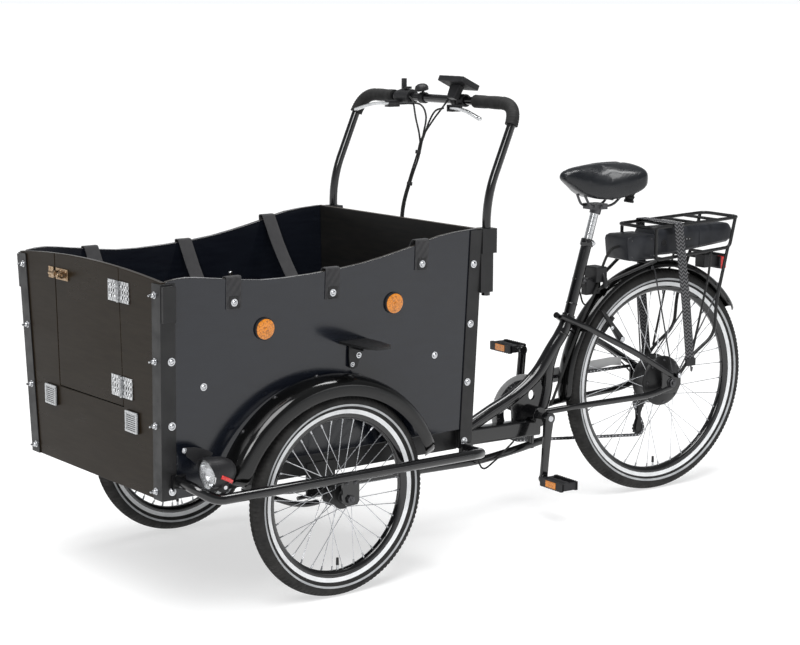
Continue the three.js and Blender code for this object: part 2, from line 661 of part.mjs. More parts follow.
function rearFrame() {
  const main = curvePoints([
    [0, 1036, 552], [0, 1016, 508], [0, 978, 460], [0, 921, 389], [0, 847, 339], [0, 761, 301],
    [0, 690, 268], [0, 640, 246],
  ], 11);
  const branch = curvePoints(
    [[0, 1022, 522], [0, 992, 476], [0, 966, 411], [0, 958, 340], [0, 940, 284], [0, 915, 262]], 7,
  );
  const seatTube = rod(seatAxisPoint(-86), seatAxisPoint(SEAT.top), 15.5, 14);
  const collar = rod(seatAxisPoint(SEAT.top - 22), seatAxisPoint(SEAT.top - 0.5), 19, 14);
  const shell = rod([-34, CRANK.y, CRANK.z], [34, CRANK.y, CRANK.z], 24, 16);
  const beam = block([-BEAM.width / 2, 12, BEAM.top - BEAM.height], [BEAM.width / 2, 925, BEAM.top]);
  const head = rod([0, 0, 180], [0, 0, BEAM.top], 27, 16);
  const truss = bentTube(
    [[0, 12, 194], [0, 90, 168], [0, 720, 165], [0, 846, 180], [0, 952, 197]], 11, 60, 8, 2,
  );
  const struts = [692, 905].map((y) => rod([0, y, 180], [0, y, BEAM.top - 6], 10, 8));
  const web = sidePlate(
    [[844, 328], [875, 350], [926, 391], [953, 326], [960, 273], [955, 237], [839, 251], [835, 308]],
    -4, 4,
  );
  const gusset = cut(web, rod([-6, 904, 334], [6, 904, 334], 12, 12));
  const parts = [
    tube(main, 19, 10), tube(branch, 17, 8), seatTube, collar, shell, beam, head, truss, ...struts,
    gusset,
  ];
  const stays = [-1, 1].flatMap((s) => [
    bentTube(
      [[s * 16, 932, 282], [s * 42, 1010, 292], [s * 66, 1290, 300], [s * 71, 1366, 318]], 9, 50, 8, 2,
    ),
    bentTube(
      [[s * 12, 1000, 552], [s * 44, 1060, 522], [s * 64, 1238, 430], [s * 71, 1366, 352]], 9, 50, 8, 2,
    ),
    sidePlate([[1335, 298], [1385, 304], [1402, 330], [1388, 356], [1335, 366]], s * 71 - 3, s * 71 + 3),
  ]);
  const axle = rod([-88, REAR.y, REAR.radius], [88, REAR.y, REAR.radius], 6, 12);
  const rackLug = block([-8, 1052, 636], [8, 1098, 656]);
  const postBore = rod(
    seatAxisPoint(SEAT.top - SEAT.bore), seatAxisPoint(SEAT.top + 10), SEAT.postRadius + 0.7, 16,
  );
  const spindleBore = rod([-60, CRANK.y, CRANK.z], [60, CRANK.y, CRANK.z], 10.5, 14);
  const pinBore = rod([0, 0, 100], [0, 0, 400], 14.2, 16);
  return cut(join(...parts, ...stays, axle, rackLug), postBore, spindleBore, pinBore);
}

function rearFender() {
  const radius = REAR.radius + 20;
  const section = [
    [-30, -12], [-24, 0], [0, 6], [24, 0], [30, -12], [27, -12], [22, -3], [0, 3], [-22, -3],
    [-27, -12],
  ];
  const points = Array.from({ length: 21 }, (_, i) => {
    const a = THREE.MathUtils.degToRad(184 - (151 * i) / 20);
    return v(0, REAR.y + radius * Math.cos(a), REAR.radius + radius * Math.sin(a));
  });
  return sweep(section, points, v(-1, 0, 0));
}

function clampLever() {
  const [, y, z] = seatAxisPoint(SEAT.top - 11);
  return join(
    rod([21.5, y, z], [31.5, y, z], 5, 10),
    block([24, y - 44, z - 5], [29, y + 4, z + 5]),
  );
}

function seatPost() {
  return rod(seatAxisPoint(SEAT.top - 130), seatAxisPoint(SEAT.top + POST_TOP), SEAT.postRadius, 16);
}

// Rings from nose to tail: y, half width, top, bottom, hollow under the middle.
const SADDLE = [
  [1000, 12, 950, 936, 0], [1010, 22, 962, 928, 0], [1034, 30, 971, 908, 3], [1060, 38, 976, 887, 6],
  [1092, 50, 978, 871, 10], [1125, 66, 978, 864, 14], [1160, 86, 978, 866, 16], [1200, 102, 978, 879, 14],
  [1230, 103, 977, 896, 8], [1250, 82, 970, 914, 3], [1258, 55, 962, 928, 0],
];

function saddle() {
  const bulge = (value, power) => Math.sign(value) * Math.abs(value) ** power;
  const rings = SADDLE.map(([y, half, top, bottom, hollow]) => Array.from({ length: 16 }, (_, i) => {
    const [across, up] = [Math.cos((2 * Math.PI * i) / 16), Math.sin((2 * Math.PI * i) / 16)];
    const lift = up < -0.1 ? hollow * (1 - Math.abs(across) ** 1.2) : 0;
    const height = bulge(up, up < 0 ? 0.45 : 0.7) * (top - bottom) * 0.5;
    return v(half * bulge(across, 0.7), y, (top + bottom) / 2 + height + lift);
  }));
  const [, postY, postZ] = seatAxisPoint(SEAT.top + POST_TOP);
  const clamp = block([-22, postY - 20, postZ + 4], [22, postY + 20, 925]);
  const rails = [-1, 1].map((s) => bentTube(
    [[s * 14, 1056, 922], [s * 20, 1090, 858], [s * 22, 1170, 858], [s * 34, 1216, 912]], 4, 16, 6, 2,
  ));
  return join(loft(rings), clamp, ...rails);
}

// ---------------------------------------------------------------- drive train
function crankEnd(side) {
  const a = side > 0 ? CRANK_ANGLE : CRANK_ANGLE + Math.PI;
  return [CRANK.y + CRANK.length * Math.cos(a), CRANK.z + CRANK.length * Math.sin(a)];
}

function crankArm(side) {
  const [y, z] = crankEnd(side);
  const near = side * (CRANK.offset - 14);
  const far = side * CRANK.offset;
  const boss = rod([side * (side > 0 ? 60 : 58), CRANK.y, CRANK.z], [side * 82, CRANK.y, CRANK.z], 16, 14);
  const arm = rod([near, CRANK.y, CRANK.z], [far, y, z], 13, 8, 10);
  arm.translate(-near, -CRANK.y, -CRANK.z);
  const squeeze = new THREE.Matrix4().makeScale(0.5, 1, 1);
  arm.applyMatrix4(squeeze).translate(near, CRANK.y, CRANK.z);
  const eye = rod([far - side * 14, y, z], [far - side * 1, y, z], 13, 14);
  return join(boss, arm, eye);
}

// The right arm, the spindle and the chainring are pressed together and turn as one piece.
function rightCrankset() {
  const x = CRANK.chainLine;
  const ring = rod([x - 2, CRANK.y, CRANK.z], [x + 2, CRANK.y, CRANK.z], 80.5, 30);
  const windows = Array.from({ length: 5 }, (_, i) => {
    const a = (2 * Math.PI * i) / 5;
    const [y, z] = [CRANK.y + 50 * Math.cos(a), CRANK.z + 50 * Math.sin(a)];
    return rod([x - 5, y, z], [x + 5, y, z], 19, 9);
  });
  const spindle = rod([-59.6, CRANK.y, CRANK.z], [59.6, CRANK.y, CRANK.z], 9.5, 14);
  return join(cut(ring, ...windows), spindle, crankArm(-1));
}

function pedal(side) {
  const [y, z] = crankEnd(side);
  const x0 = side * (CRANK.offset + 14);
  const low = [Math.min(x0, x0 + side * 96), y - 34, z - 12];
  const high = [Math.max(x0, x0 + side * 96), y + 34, z + 12];
  const axle = rod([side * (CRANK.offset + 0.4), y, z], [x0 + side * 10, y, z], 7, 10);
  return join(block(low, high), axle);
}

// Circles that the chain runs round, in (y, z), with the side it passes on.
const DERAILLEUR = { guide: [1352, 252], tension: [1344, 176], radius: 17 };
const CHAIN_WHEELS = [
  { at: [CRANK.y, CRANK.z], r: 86, turn: 1 },
  { at: [REAR.y, REAR.radius], r: 38, turn: 1 },
  { at: DERAILLEUR.guide, r: DERAILLEUR.radius + 5, turn: -1 },
  { at: DERAILLEUR.tension, r: DERAILLEUR.radius + 5, turn: 1 },
];

// The straight run between two chain wheels leaves and meets them at this angle.
function runAngle(a, b) {
  const [dy, dz] = [b.at[0] - a.at[0], b.at[1] - a.at[1]];
  const distance = Math.hypot(dy, dz);
  const heading = Math.atan2(dz, dy);
  return heading - Math.asin((a.turn * a.r - b.turn * b.r) / distance);
}

function chainPoints() {
  const points = [];
  CHAIN_WHEELS.forEach((wheel, i) => {
    const before = CHAIN_WHEELS[(i + CHAIN_WHEELS.length - 1) % CHAIN_WHEELS.length];
    const after = CHAIN_WHEELS[(i + 1) % CHAIN_WHEELS.length];
    const quarter = (wheel.turn * Math.PI) / 2;
    const start = runAngle(before, wheel) + quarter;
    let end = runAngle(wheel, after) + quarter;
    while (wheel.turn * (start - end) < 0) end -= wheel.turn * 2 * Math.PI;
    while (wheel.turn * (start - end) > 2 * Math.PI) end += wheel.turn * 2 * Math.PI;
    const steps = Math.max(3, Math.ceil(Math.abs(start - end) / 0.28));
    for (let k = 0; k <= steps; k += 1) {
      const a = start + ((end - start) * k) / steps;
      points.push([wheel.at[0] + wheel.r * Math.cos(a), wheel.at[1] + wheel.r * Math.sin(a)]);
    }
  });
  return points;
}

function chain() {
  const points = chainPoints();
  const offset = (distance) => points.map((p, i) => {
    const a = points[(i + points.length - 1) % points.length];
    const b = points[(i + 1) % points.length];
    const [dy, dz] = [b[0] - a[0], b[1] - a[1]];
    const length = Math.hypot(dy, dz);
    return [p[0] - (distance * dz) / length, p[1] + (distance * dy) / length];
  });
  const x = CRANK.chainLine;
  return outward(sidePlate(offset(3.6).reverse(), x - 3.2, x + 3.2, [offset(-3.6)]));
}

function cassette() {
  const profile = [
    [7.5, -31], [46, -31], [46, -43.5], [33, -44], [33, -52.5], [27, -53], [27, -58], [7.5, -58],
    [7.5, -31],
  ];
  return turned(profile, 24, [0, REAR.y, REAR.radius]);
}

function derailleur() {
  const x = CRANK.chainLine;
  const [guide, tension] = [DERAILLEUR.guide, DERAILLEUR.tension];
  const pulleys = [guide, tension].map(
    ([y, z]) => rod([x - 6, y, z], [x + 2.4, y, z], DERAILLEUR.radius - 1, 14),
  );
  const cage = sidePlate(
    [
      [guide[0] - 13, guide[1] + 14], [guide[0] + 14, guide[1] + 12],
      [tension[0] + 12, tension[1] - 14], [tension[0] - 14, tension[1] - 10],
    ],
    x - 8, x - 4.6,
  );
  const arm = block([x - 16, 1344, guide[1] - 8], [x - 7, 1368, 296]);
  return join(...pulleys, cage, arm);
}

function chainGuard() {
  const arc = (radius, from, to, steps) => Array.from({ length: steps + 1 }, (_, i) => {
    const a = THREE.MathUtils.degToRad(from + ((to - from) * i) / steps);
    return [CRANK.y + radius * Math.cos(a), CRANK.z + radius * Math.sin(a)];
  });
  const band = [[1031, 389], [1241, 399], [1282, 395], [1282, 371], [1242, 375], [1032, 346]];
  return sidePlate([...arc(104, 200, 70, 12), ...band, ...arc(80, 60, 200, 12)], -57.6, -54.6);
}

function brakeArm() {
  const foot = [42, 1196, 472];
  const top = [34, 1130, 560];
  const angle = THREE.MathUtils.degToRad(137.2);
  const [y, z] = [REAR.y + 272 * Math.cos(angle), REAR.radius + 272 * Math.sin(angle)];
  const along = v(0, -Math.sin(angle), Math.cos(angle));
  const pad = sweep(
    [[-5, -5], [5, -5], [5, 5], [-5, 5]],
    [-22, 22].map((d) => v(20, y, z).addScaledVector(along, d)),
    v(-1, 0, 0),
  );
  const link = rod([22, y, z], [39, y - 5, z - 7], 4.5, 8);
  return join(rod(foot, top, 6.5, 8, 5), pad, link);
}

// ---------------------------------------------------------------- rack, battery and lights
const rackZ = (y) => RACK.z + RACK.rise * (y - RACK.front);
const rackLow = (y) => RACK.low + RACK.lowRise * (y - RACK.front);

function rack() {
  const { halfWidth: w, front, rear, rod: r } = RACK;
  const bar = (from, to) => rod(from, to, r, 8);
  const parts = [front, 1362, 1444, 1527, rear].map((y) => bar([-w, y, rackZ(y)], [w, y, rackZ(y)]));
  const [frontLeg, rearLeg] = [front + 12, rear - 36];
  for (const s of [-1, 1]) {
    const x = s * w;
    parts.push(
      bar([x, front - r, rackZ(front)], [x, rear + r, rackZ(rear)]),
      bar([x, frontLeg, rackZ(frontLeg)], [x, frontLeg, rackLow(frontLeg)]),
      bar([x, rear - 16, rackZ(rear)], [x, rearLeg, rackLow(rearLeg)]),
      bar([x, front - 10, rackLow(front)], [x, rearLeg + 4, rackLow(rearLeg)]),
      bentTube([[x, front, rackLow(front)], [s * 24, 1160, 640], [s * 15, 1128, 616]], r, 30, 8, 2),
      bentTube([
        [x, rearLeg - 6, rackLow(rearLeg)], [s * 86, 1522, 560], [s * 88, 1516, 462], [s * 86, 1428, 405],
        [s * 80, 1388, 352],
      ], r, 34, 8, 3),
      bentTube([[x, 1506, rackLow(1506)], [s * 86, 1488, 640], [s * 86, 1432, 412]], 3.5, 20, 6, 2),
    );
  }
  for (const [y, drop] of [[front, 7], [1320, 1], [1444, 9]]) {
    parts.push(bar([-w, y, rackLow(y) - drop], [w, y, rackLow(y) - drop]));
  }
  parts.push(bar([-w - 1, 1563, 693], [w + 1, 1563, 693])); // kept low, clear of the battery's way out
  return join(...parts);
}

function controller() {
  return sidePlate([[1210, 704], [1217, 697], [1308, 697], [1308, 769], [1216, 769], [1204, 758]], -52, 52);
}

// The pack tapers towards its rounded rear end; its upper edges are stepped in.
function battery() {
  const { halfWidth: w, front, rear, bottom, top } = BATTERY;
  const shoulder = top - 16;
  const lower = [
    [front, bottom], [1370, bottom], [1596, bottom + 22], [rear - 8, bottom + 34], [rear, bottom + 50],
    [rear - 2, shoulder],
  ];
  return join(
    sidePlate([...lower, [front, shoulder]], -w, w),
    sidePlate([
      [front, shoulder - 4], [rear - 3, shoulder - 4], [rear - 6, top - 6], [rear - 14, top],
      [front, top],
    ], -w + 8, w - 8),
  );
}

function tailLight() {
  return join(
    block([-32, 1583, 645], [32, 1610, 684]),
    block([-20, 1530, 650], [20, 1586, 687]),
  );
}

function luggageStrap() {
  const x = RACK.halfWidth + RACK.rod + 4;
  const top = rackZ(1368) + RACK.rod + 2.4;
  const section = [[-16, -1.5], [16, -1.5], [16, 1.5], [-16, 1.5]];
  const left = [v(x + 12, 1416, 388), v(x + 12, 1394, 560), v(x, 1369, top - 14), v(x, 1368, top)];
  const right = left.map((p) => v(-p.x, p.y, p.z)).reverse();
  return sweep(section, [...left, ...right], v(0, 1, 0));
}

function addRear(group) {
  part(group, 'rear_frame', rearFrame(), 'blackMetal');
  part(group, 'fender_rear', rearFender(), 'glossPlastic');
  part(group, 'seat_clamp_lever', clampLever(), 'blackMetal');
  part(group, 'seat_post', seatPost(), 'aluminium');
  part(group, 'saddle', saddle(), 'leather');
  part(group, 'crank_left', crankArm(1), 'blackMetal');
  part(group, 'crank_right', rightCrankset(), 'blackMetal');
  part(group, 'pedal_left', pedal(1), 'blackPlastic');
  part(group, 'pedal_right', pedal(-1), 'blackPlastic');
  part(group, 'chain', chain(), 'darkSteel');
  part(group, 'cassette', cassette(), 'darkSteel');
  part(group, 'derailleur', derailleur(), 'darkSteel');
  part(group, 'chain_guard', chainGuard(), 'greyPlastic');
  part(group, 'brake_arm_left', brakeArm(), 'darkSteel');
  part(group, 'brake_arm_right', mirrored(brakeArm()), 'darkSteel');
  part(group, 'rack', rack(), 'blackMetal');
  part(group, 'controller', controller(), 'blackPlastic');
  part(group, 'battery', battery(), 'blackPlastic');
  part(group, 'tail_light', tailLight(), 'blackPlastic');
  part(group, 'luggage_strap', luggageStrap(), 'webbing');
  const centre = [0, REAR.y, REAR.radius];
  part(group, 'tyre_rear', tyre(REAR.radius, REAR.width, REAR.rim, centre), 'rubber');
  part(group, 'wheel_rear', rearWheel().translate(...centre), 'aluminium');
}

// ---------------------------------------------------------------- assembly
const tricycle = new THREE.Group();
tricycle.position.y = PIVOT_Y;
const frontAssembly = new THREE.Group();
frontAssembly.rotation.z = STEER_ANGLE;
const rearAssembly = new THREE.Group();
tricycle.add(frontAssembly, rearAssembly);

addBox(frontAssembly);
addFrontAssembly(frontAssembly);
addFrontWheel(frontAssembly, 'left', FRONT.x);
addFrontWheel(frontAssembly, 'right', -FRONT.x);
addRear(rearAssembly);

export default tricycle;
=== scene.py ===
"""Looks of the cargo tricycle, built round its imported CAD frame.

Shapes are written in millimetres from the steering pivot (kingpin), as in the CAD part, in one of
two spaces: FRONT turns with the steered box, REAR stays with the rear frame. Both are turned into
metres when a piece is made.
"""

import bmesh
import bpy
import json
import math
from mathutils import Matrix, Vector


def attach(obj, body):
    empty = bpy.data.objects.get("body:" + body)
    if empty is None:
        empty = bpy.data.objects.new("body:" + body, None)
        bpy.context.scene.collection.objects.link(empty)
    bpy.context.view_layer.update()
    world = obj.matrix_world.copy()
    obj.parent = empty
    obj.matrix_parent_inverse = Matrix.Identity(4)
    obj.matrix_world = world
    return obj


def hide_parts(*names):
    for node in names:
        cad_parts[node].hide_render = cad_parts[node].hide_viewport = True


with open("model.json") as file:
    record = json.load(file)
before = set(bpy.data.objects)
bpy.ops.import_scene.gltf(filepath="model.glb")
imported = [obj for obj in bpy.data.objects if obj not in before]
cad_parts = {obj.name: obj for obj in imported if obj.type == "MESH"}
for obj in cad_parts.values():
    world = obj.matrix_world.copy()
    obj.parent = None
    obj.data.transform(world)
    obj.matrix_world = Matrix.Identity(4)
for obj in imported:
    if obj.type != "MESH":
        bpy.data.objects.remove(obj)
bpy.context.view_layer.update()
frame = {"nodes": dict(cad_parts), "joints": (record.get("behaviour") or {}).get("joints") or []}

# ---------------------------------------------------------------- driving dimensions, mm
PIVOT = Vector(next(j for j in frame["joints"] if j["name"] == "steer")["pos_m"])
TURN = math.radians(3.66)
REAR = Matrix.Translation((PIVOT.x, PIVOT.y, 0)) @ Matrix.Scale(0.001, 4)
FRONT = Matrix.Translation((PIVOT.x, PIVOT.y, 0)) @ Matrix.Rotation(TURN, 4, "Z") @ Matrix.Scale(0.001, 4)

REAR_WHEEL = {"y": 1366, "radius": 330, "width": 46, "rim": 281, "bands": (291, 297, 303)}
FRONT_WHEEL = {"x": 376.5, "radius": 250, "width": 47, "rim": 204, "bands": (213.5, 222, 227)}
STRAPS = {"strap_front": (-272, 801), "strap_middle": (8, 799), "strap_rear": (278, 847)}
CRANK = {"y": 912, "z": 278, "length": 170, "chain_x": -48}
CRANK_ANGLE = math.radians(-97.4)
SEAT_TUBE = (Vector((0, 1057, 621)), Vector((0, 0.2915, 0.9566)))
TUBE_TOP = 150                       # along the seat tube, from its start
POST_TOP = 234
RACK = {"half_width": 76, "front": 1279, "rear": 1613, "rod": 5}
DOOR_PIN = 156                       # hinge pins of the front door
STRAP_SAG = 270
CHAIN_PITCH = 12.7
PLATE_RADIUS = 4.2                   # ends of the chain's link plates
COVER_INSET = 3                      # the saddle's cover starts this much smaller, and swells by at most
COVER_SWELL = 0.006                  # this much, in metres
CLOTH = {"voxel": 0.005, "pressure": 4, "steps": 20}


SIDES = ((1, "left"), (-1, "right"))


def side_x(z):
    """Half the box's outer width at a height: its sides lean outwards."""
    return 321 + 0.0517 * (z - 293)


def front_y(z):
    """The box's front face at a height."""
    return -455 - 0.0214 * (z - 293)


def rear_y(z):
    """The box's rear face at a height."""
    return 460 + 0.014 * (z - 293)


# ---------------------------------------------------------------- materials
def new_material(name, color, roughness, metallic=0.0, coat=0.0, specular=0.3):
    mat = bpy.data.materials.new(name)
    mat.use_nodes = True
    shader = mat.node_tree.nodes["Principled BSDF"]
    shader.inputs["Base Color"].default_value = (*color, 1)
    shader.inputs["Roughness"].default_value = roughness
    shader.inputs["Metallic"].default_value = metallic
    shader.inputs["Specular IOR Level"].default_value = 0.5 if metallic else specular
    shader.inputs["Coat Weight"].default_value = coat
    shader.inputs["Coat Roughness"].default_value = 0.08
    return mat


def node(mat, kind, **values):
    """Adds a node; inputs are given by name with spaces as underscores, properties in lower case."""
    made = mat.node_tree.nodes.new(kind)
    for key, value in values.items():
        name = key.replace("_", " ")
        if name in made.inputs:
            made.inputs[name].default_value = value
        else:
            setattr(made, key, value)
    return made


def wire(mat, source, target):
    mat.node_tree.links.new(source, target)


def shader_of(mat):
    return mat.node_tree.nodes["Principled BSDF"]


def place(mat, stretch=(1, 1, 1)):
    """Object coordinates, stretched."""
    coordinates = node(mat, "ShaderNodeTexCoord")
    mapping = node(mat, "ShaderNodeMapping")
    mapping.inputs["Scale"].default_value = stretch
    wire(mat, coordinates.outputs["Object"], mapping.inputs["Vector"])
    return mapping.outputs["Vector"]


def noise(mat, scale, detail=4.0, stretch=(1, 1, 1)):
    made = node(mat, "ShaderNodeTexNoise", Scale=scale, Detail=detail)
    wire(mat, place(mat, stretch), made.inputs["Vector"])
    return made.outputs["Fac"]


def spread(mat, factor, low, high, start=0.3, end=0.7):
    """Maps a 0-1 factor to the range low-high."""
    made = node(mat, "ShaderNodeMapRange")
    for name, value in (("From Min", start), ("From Max", end), ("To Min", low), ("To Max", high)):
        made.inputs[name].default_value = value
    wire(mat, factor, made.inputs["Value"])
    return made.outputs["Result"]


def blend(mat, factor, first, second):
    """Mixes two colours, or two colour outputs, by a factor."""
    made = node(mat, "ShaderNodeMix", data_type="RGBA")
    for socket, value in ((made.inputs[6], first), (made.inputs[7], second)):
        if isinstance(value, bpy.types.NodeSocket):
            wire(mat, value, socket)
        else:
            socket.default_value = (*value, 1)
    wire(mat, factor, made.inputs[0])
    return made.outputs[2]


def calc(mat, operation, a, b=0.0):
    made = node(mat, "ShaderNodeMath", operation=operation)
    for socket, value in zip(made.inputs, (a, b)):
        if isinstance(value, bpy.types.NodeSocket):
            wire(mat, value, socket)
        else:
            socket.default_value = value
    return made.outputs[0]


def paint(mat, color=None, roughness=None, height=None, strength=0.2, distance=0.0005):
    """Connects colour, roughness and bump to the shader."""
    shader = shader_of(mat)
    if color is not None:
        wire(mat, color, shader.inputs["Base Color"])
    if roughness is not None:
        wire(mat, roughness, shader.inputs["Roughness"])
    if height is not None:
        bump = node(mat, "ShaderNodeBump", Strength=strength, Distance=distance)
        wire(mat, height, bump.inputs["Height"])
        wire(mat, bump.outputs["Normal"], shader.inputs["Normal"])
    return mat


def plywood(name, dark, light, edge, specular, roughness):
    """Film-faced board: a satin film over faint grain, with bare layered edges that face up."""
    mat = new_material(name, dark, roughness, specular=specular)
    grain = noise(mat, 14, 8, (1, 1, 9))
    film = blend(mat, spread(mat, grain, 0, 1), dark, light)
    surface = node(mat, "ShaderNodeNewGeometry")
    parts = node(mat, "ShaderNodeSeparateXYZ")
    wire(mat, surface.outputs["Normal"], parts.inputs[0])
    facing_up = spread(mat, parts.outputs["Z"], 0, 1, 0.6, 0.9)
    layers = noise(mat, 90, 3, (6, 6, 0.2))
    bare = blend(mat, spread(mat, layers, 0, 1), edge, [c * 0.55 for c in edge])
    fine = noise(mat, 900, 2)
    rough = spread(mat, noise(mat, 5, 6, (1, 1, 3)), roughness * 0.85, roughness * 1.2)
    return paint(mat, blend(mat, facing_up, film, bare), rough, fine, 0.06, 0.0002)


def lacquer(name, color, roughness, metallic=0.0, coat=0.6):
    """Powder coat or gloss plastic: fine orange peel, and dust that dulls it in patches."""
    mat = new_material(name, color, roughness, metallic, coat, 0.35)
    dust = noise(mat, 9, 8)
    tint = blend(mat, spread(mat, dust, 0, 0.5, 0.45, 0.8), color, [c * 1.4 + 0.004 for c in color])
    rough = spread(mat, noise(mat, 30, 6), roughness * 0.8, roughness * 1.35)
    return paint(mat, tint, rough, noise(mat, 420, 2), 0.05, 0.0003)


def metal(name, color, roughness, scale=300, stretch=(1, 1, 1)):
    """Bare or plated metal with fine brushing and a patchy surface."""
    mat = new_material(name, color, roughness, 1.0)
    patches = noise(mat, 40, 6)
    tint = blend(mat, spread(mat, patches, 0, 1), [c * 0.72 for c in color], color)
    rough = spread(mat, noise(mat, scale, 4, stretch), roughness * 0.6, roughness * 1.5)
    return paint(mat, tint, rough, noise(mat, scale * 2, 2, stretch), 0.08, 0.0002)


def zinc():
    """Galvanised sheet with its spangle."""
    mat = new_material("galvanised", (0.62, 0.63, 0.64), 0.35, 1.0)
    cells = node(mat, "ShaderNodeTexVoronoi", Scale=260)
    wire(mat, place(mat), cells.inputs["Vector"])
    value = node(mat, "ShaderNodeSeparateColor")
    wire(mat, cells.outputs["Color"], value.inputs[0])
    tint = blend(mat, value.outputs[0], (0.46, 0.47, 0.48), (0.78, 0.79, 0.80))
    return paint(mat, tint, spread(mat, value.outputs[1], 0.25, 0.5, 0, 1), noise(mat, 500), 0.08)


def moulded(name, color, roughness, grain=1400):
    """Injection-moulded plastic or rubber with a spark-eroded grain."""
    mat = new_material(name, color, roughness)
    tint = blend(mat, spread(mat, noise(mat, 25, 6), 0, 1), color, [c * 1.45 + 0.004 for c in color])
    rough = spread(mat, noise(mat, 60, 5), roughness * 0.85, min(1, roughness * 1.2))
    return paint(mat, tint, rough, noise(mat, grain, 2), 0.25, 0.0003)


def rubber_tyre():
    mat = new_material("tyre_rubber", (0.03, 0.03, 0.031), 0.8)
    dirt = blend(mat, spread(mat, noise(mat, 18, 9), 0, 1), (0.010, 0.010, 0.010), (0.024, 0.023, 0.022))
    return paint(mat, dirt, spread(mat, noise(mat, 50, 5), 0.65, 0.95), noise(mat, 700, 3), 0.3, 0.0004)


def reflective_band(name, low, high):
    """Retroreflective sidewall tape: silver with a fine cell pattern."""
    mat = new_material(name, high, 0.5)
    cells = node(mat, "ShaderNodeTexVoronoi", Scale=900)
    wire(mat, place(mat), cells.inputs["Vector"])
    tint = blend(mat, spread(mat, noise(mat, 30, 8), 0, 1), low, high)
    return paint(mat, tint, spread(mat, noise(mat, 80), 0.35, 0.6), cells.outputs["Distance"], 0.15, 0.0003)


def webbing():
    """Woven polyester strap: a fine basket weave."""
    mat = new_material("webbing", (0.05, 0.05, 0.052), 0.85)
    shader_of(mat).inputs["Sheen Weight"].default_value = 0.15
    heights = []
    for direction in ("X", "Y", "Z"):
        wave = node(mat, "ShaderNodeTexWave", Scale=260, wave_type="BANDS", bands_direction=direction)
        wire(mat, place(mat), wave.inputs["Vector"])
        heights.append(wave.outputs["Fac"])
    weave = calc(mat, "ADD", calc(mat, "MULTIPLY", heights[0], heights[1]), heights[2])
    tint = blend(mat, spread(mat, weave, 0, 1, 0.2, 1.6), (0.016, 0.016, 0.017), (0.050, 0.049, 0.052))
    return paint(mat, tint, spread(mat, noise(mat, 60), 0.75, 0.95), weave, 0.5, 0.0006)


def zigzag_webbing():
    """Elastic luggage strap with a light zig-zag woven in; UV: x across 0-1, y along in strap widths."""
    mat = new_material("zigzag_webbing", (0.1, 0.1, 0.1), 0.85)
    coordinates = node(mat, "ShaderNodeTexCoord")
    parts = node(mat, "ShaderNodeSeparateXYZ")
    wire(mat, coordinates.outputs["UV"], parts.inputs[0])
    across = calc(mat, "PINGPONG", parts.outputs["X"], 0.25)
    along = calc(mat, "ADD", calc(mat, "MULTIPLY", parts.outputs["Y"], 3.0),
                 calc(mat, "MULTIPLY", across, 3.0))
    stripe = calc(mat, "PINGPONG", along, 0.5)
    light = calc(mat, "GREATER_THAN", stripe, 0.27)
    thread = node(mat, "ShaderNodeTexWave", Scale=400, wave_type="BANDS", bands_direction="Z")
    wire(mat, place(mat), thread.inputs["Vector"])
    tint = blend(mat, light, (0.016, 0.016, 0.018), (0.13, 0.13, 0.135))
    return paint(mat, tint, spread(mat, noise(mat, 60), 0.7, 0.9), thread.outputs["Fac"], 0.5, 0.0006)


def leather():
    """Saddle cover: pebbled grain with a soft sheen."""
    mat = new_material("saddle_leather", (0.008, 0.009, 0.011), 0.3, coat=0.25)
    cells = node(mat, "ShaderNodeTexVoronoi", Scale=520, feature="DISTANCE_TO_EDGE")
    wire(mat, place(mat), cells.inputs["Vector"])
    tint = blend(mat, spread(mat, noise(mat, 20, 6), 0, 1), (0.006, 0.007, 0.009), (0.011, 0.012, 0.014))
    return paint(mat, tint, spread(mat, noise(mat, 35, 6), 0.22, 0.38), cells.outputs["Distance"], 0.3,
                 0.0005)


def clear_lens(name, color, roughness=0.05, cells=0):
    """Clear or tinted plastic lens. With cells it is a prism reflector and gets a painted glow: it emits a
    little of its own colour in place of light thrown back.
    """
    mat = new_material(name, color, roughness, coat=0.5, specular=0.5)
    shader_of(mat).inputs["Transmission Weight"].default_value = 0.0 if cells else 0.75
    shader_of(mat).inputs["IOR"].default_value = 1.45
    pattern = node(mat, "ShaderNodeTexVoronoi", Scale=cells or 200)
    wire(mat, place(mat), pattern.inputs["Vector"])
    distance = pattern.outputs["Distance"]
    deep = [c * (0.45 if cells else 0.8) for c in color]
    tint = blend(mat, spread(mat, distance, 0, 1, 0.3, 0.9), color, deep)
    # Painted glow: prism lenses emit a faint light of their own colour, standing in for light thrown back
    # at the camera.
    if cells:
        wire(mat, tint, shader_of(mat).inputs["Emission Color"])
        shader_of(mat).inputs["Emission Strength"].default_value = 0.2
    return paint(mat, tint, spread(mat, noise(mat, 90), roughness, roughness + 0.08), distance, 0.4, 0.0008)


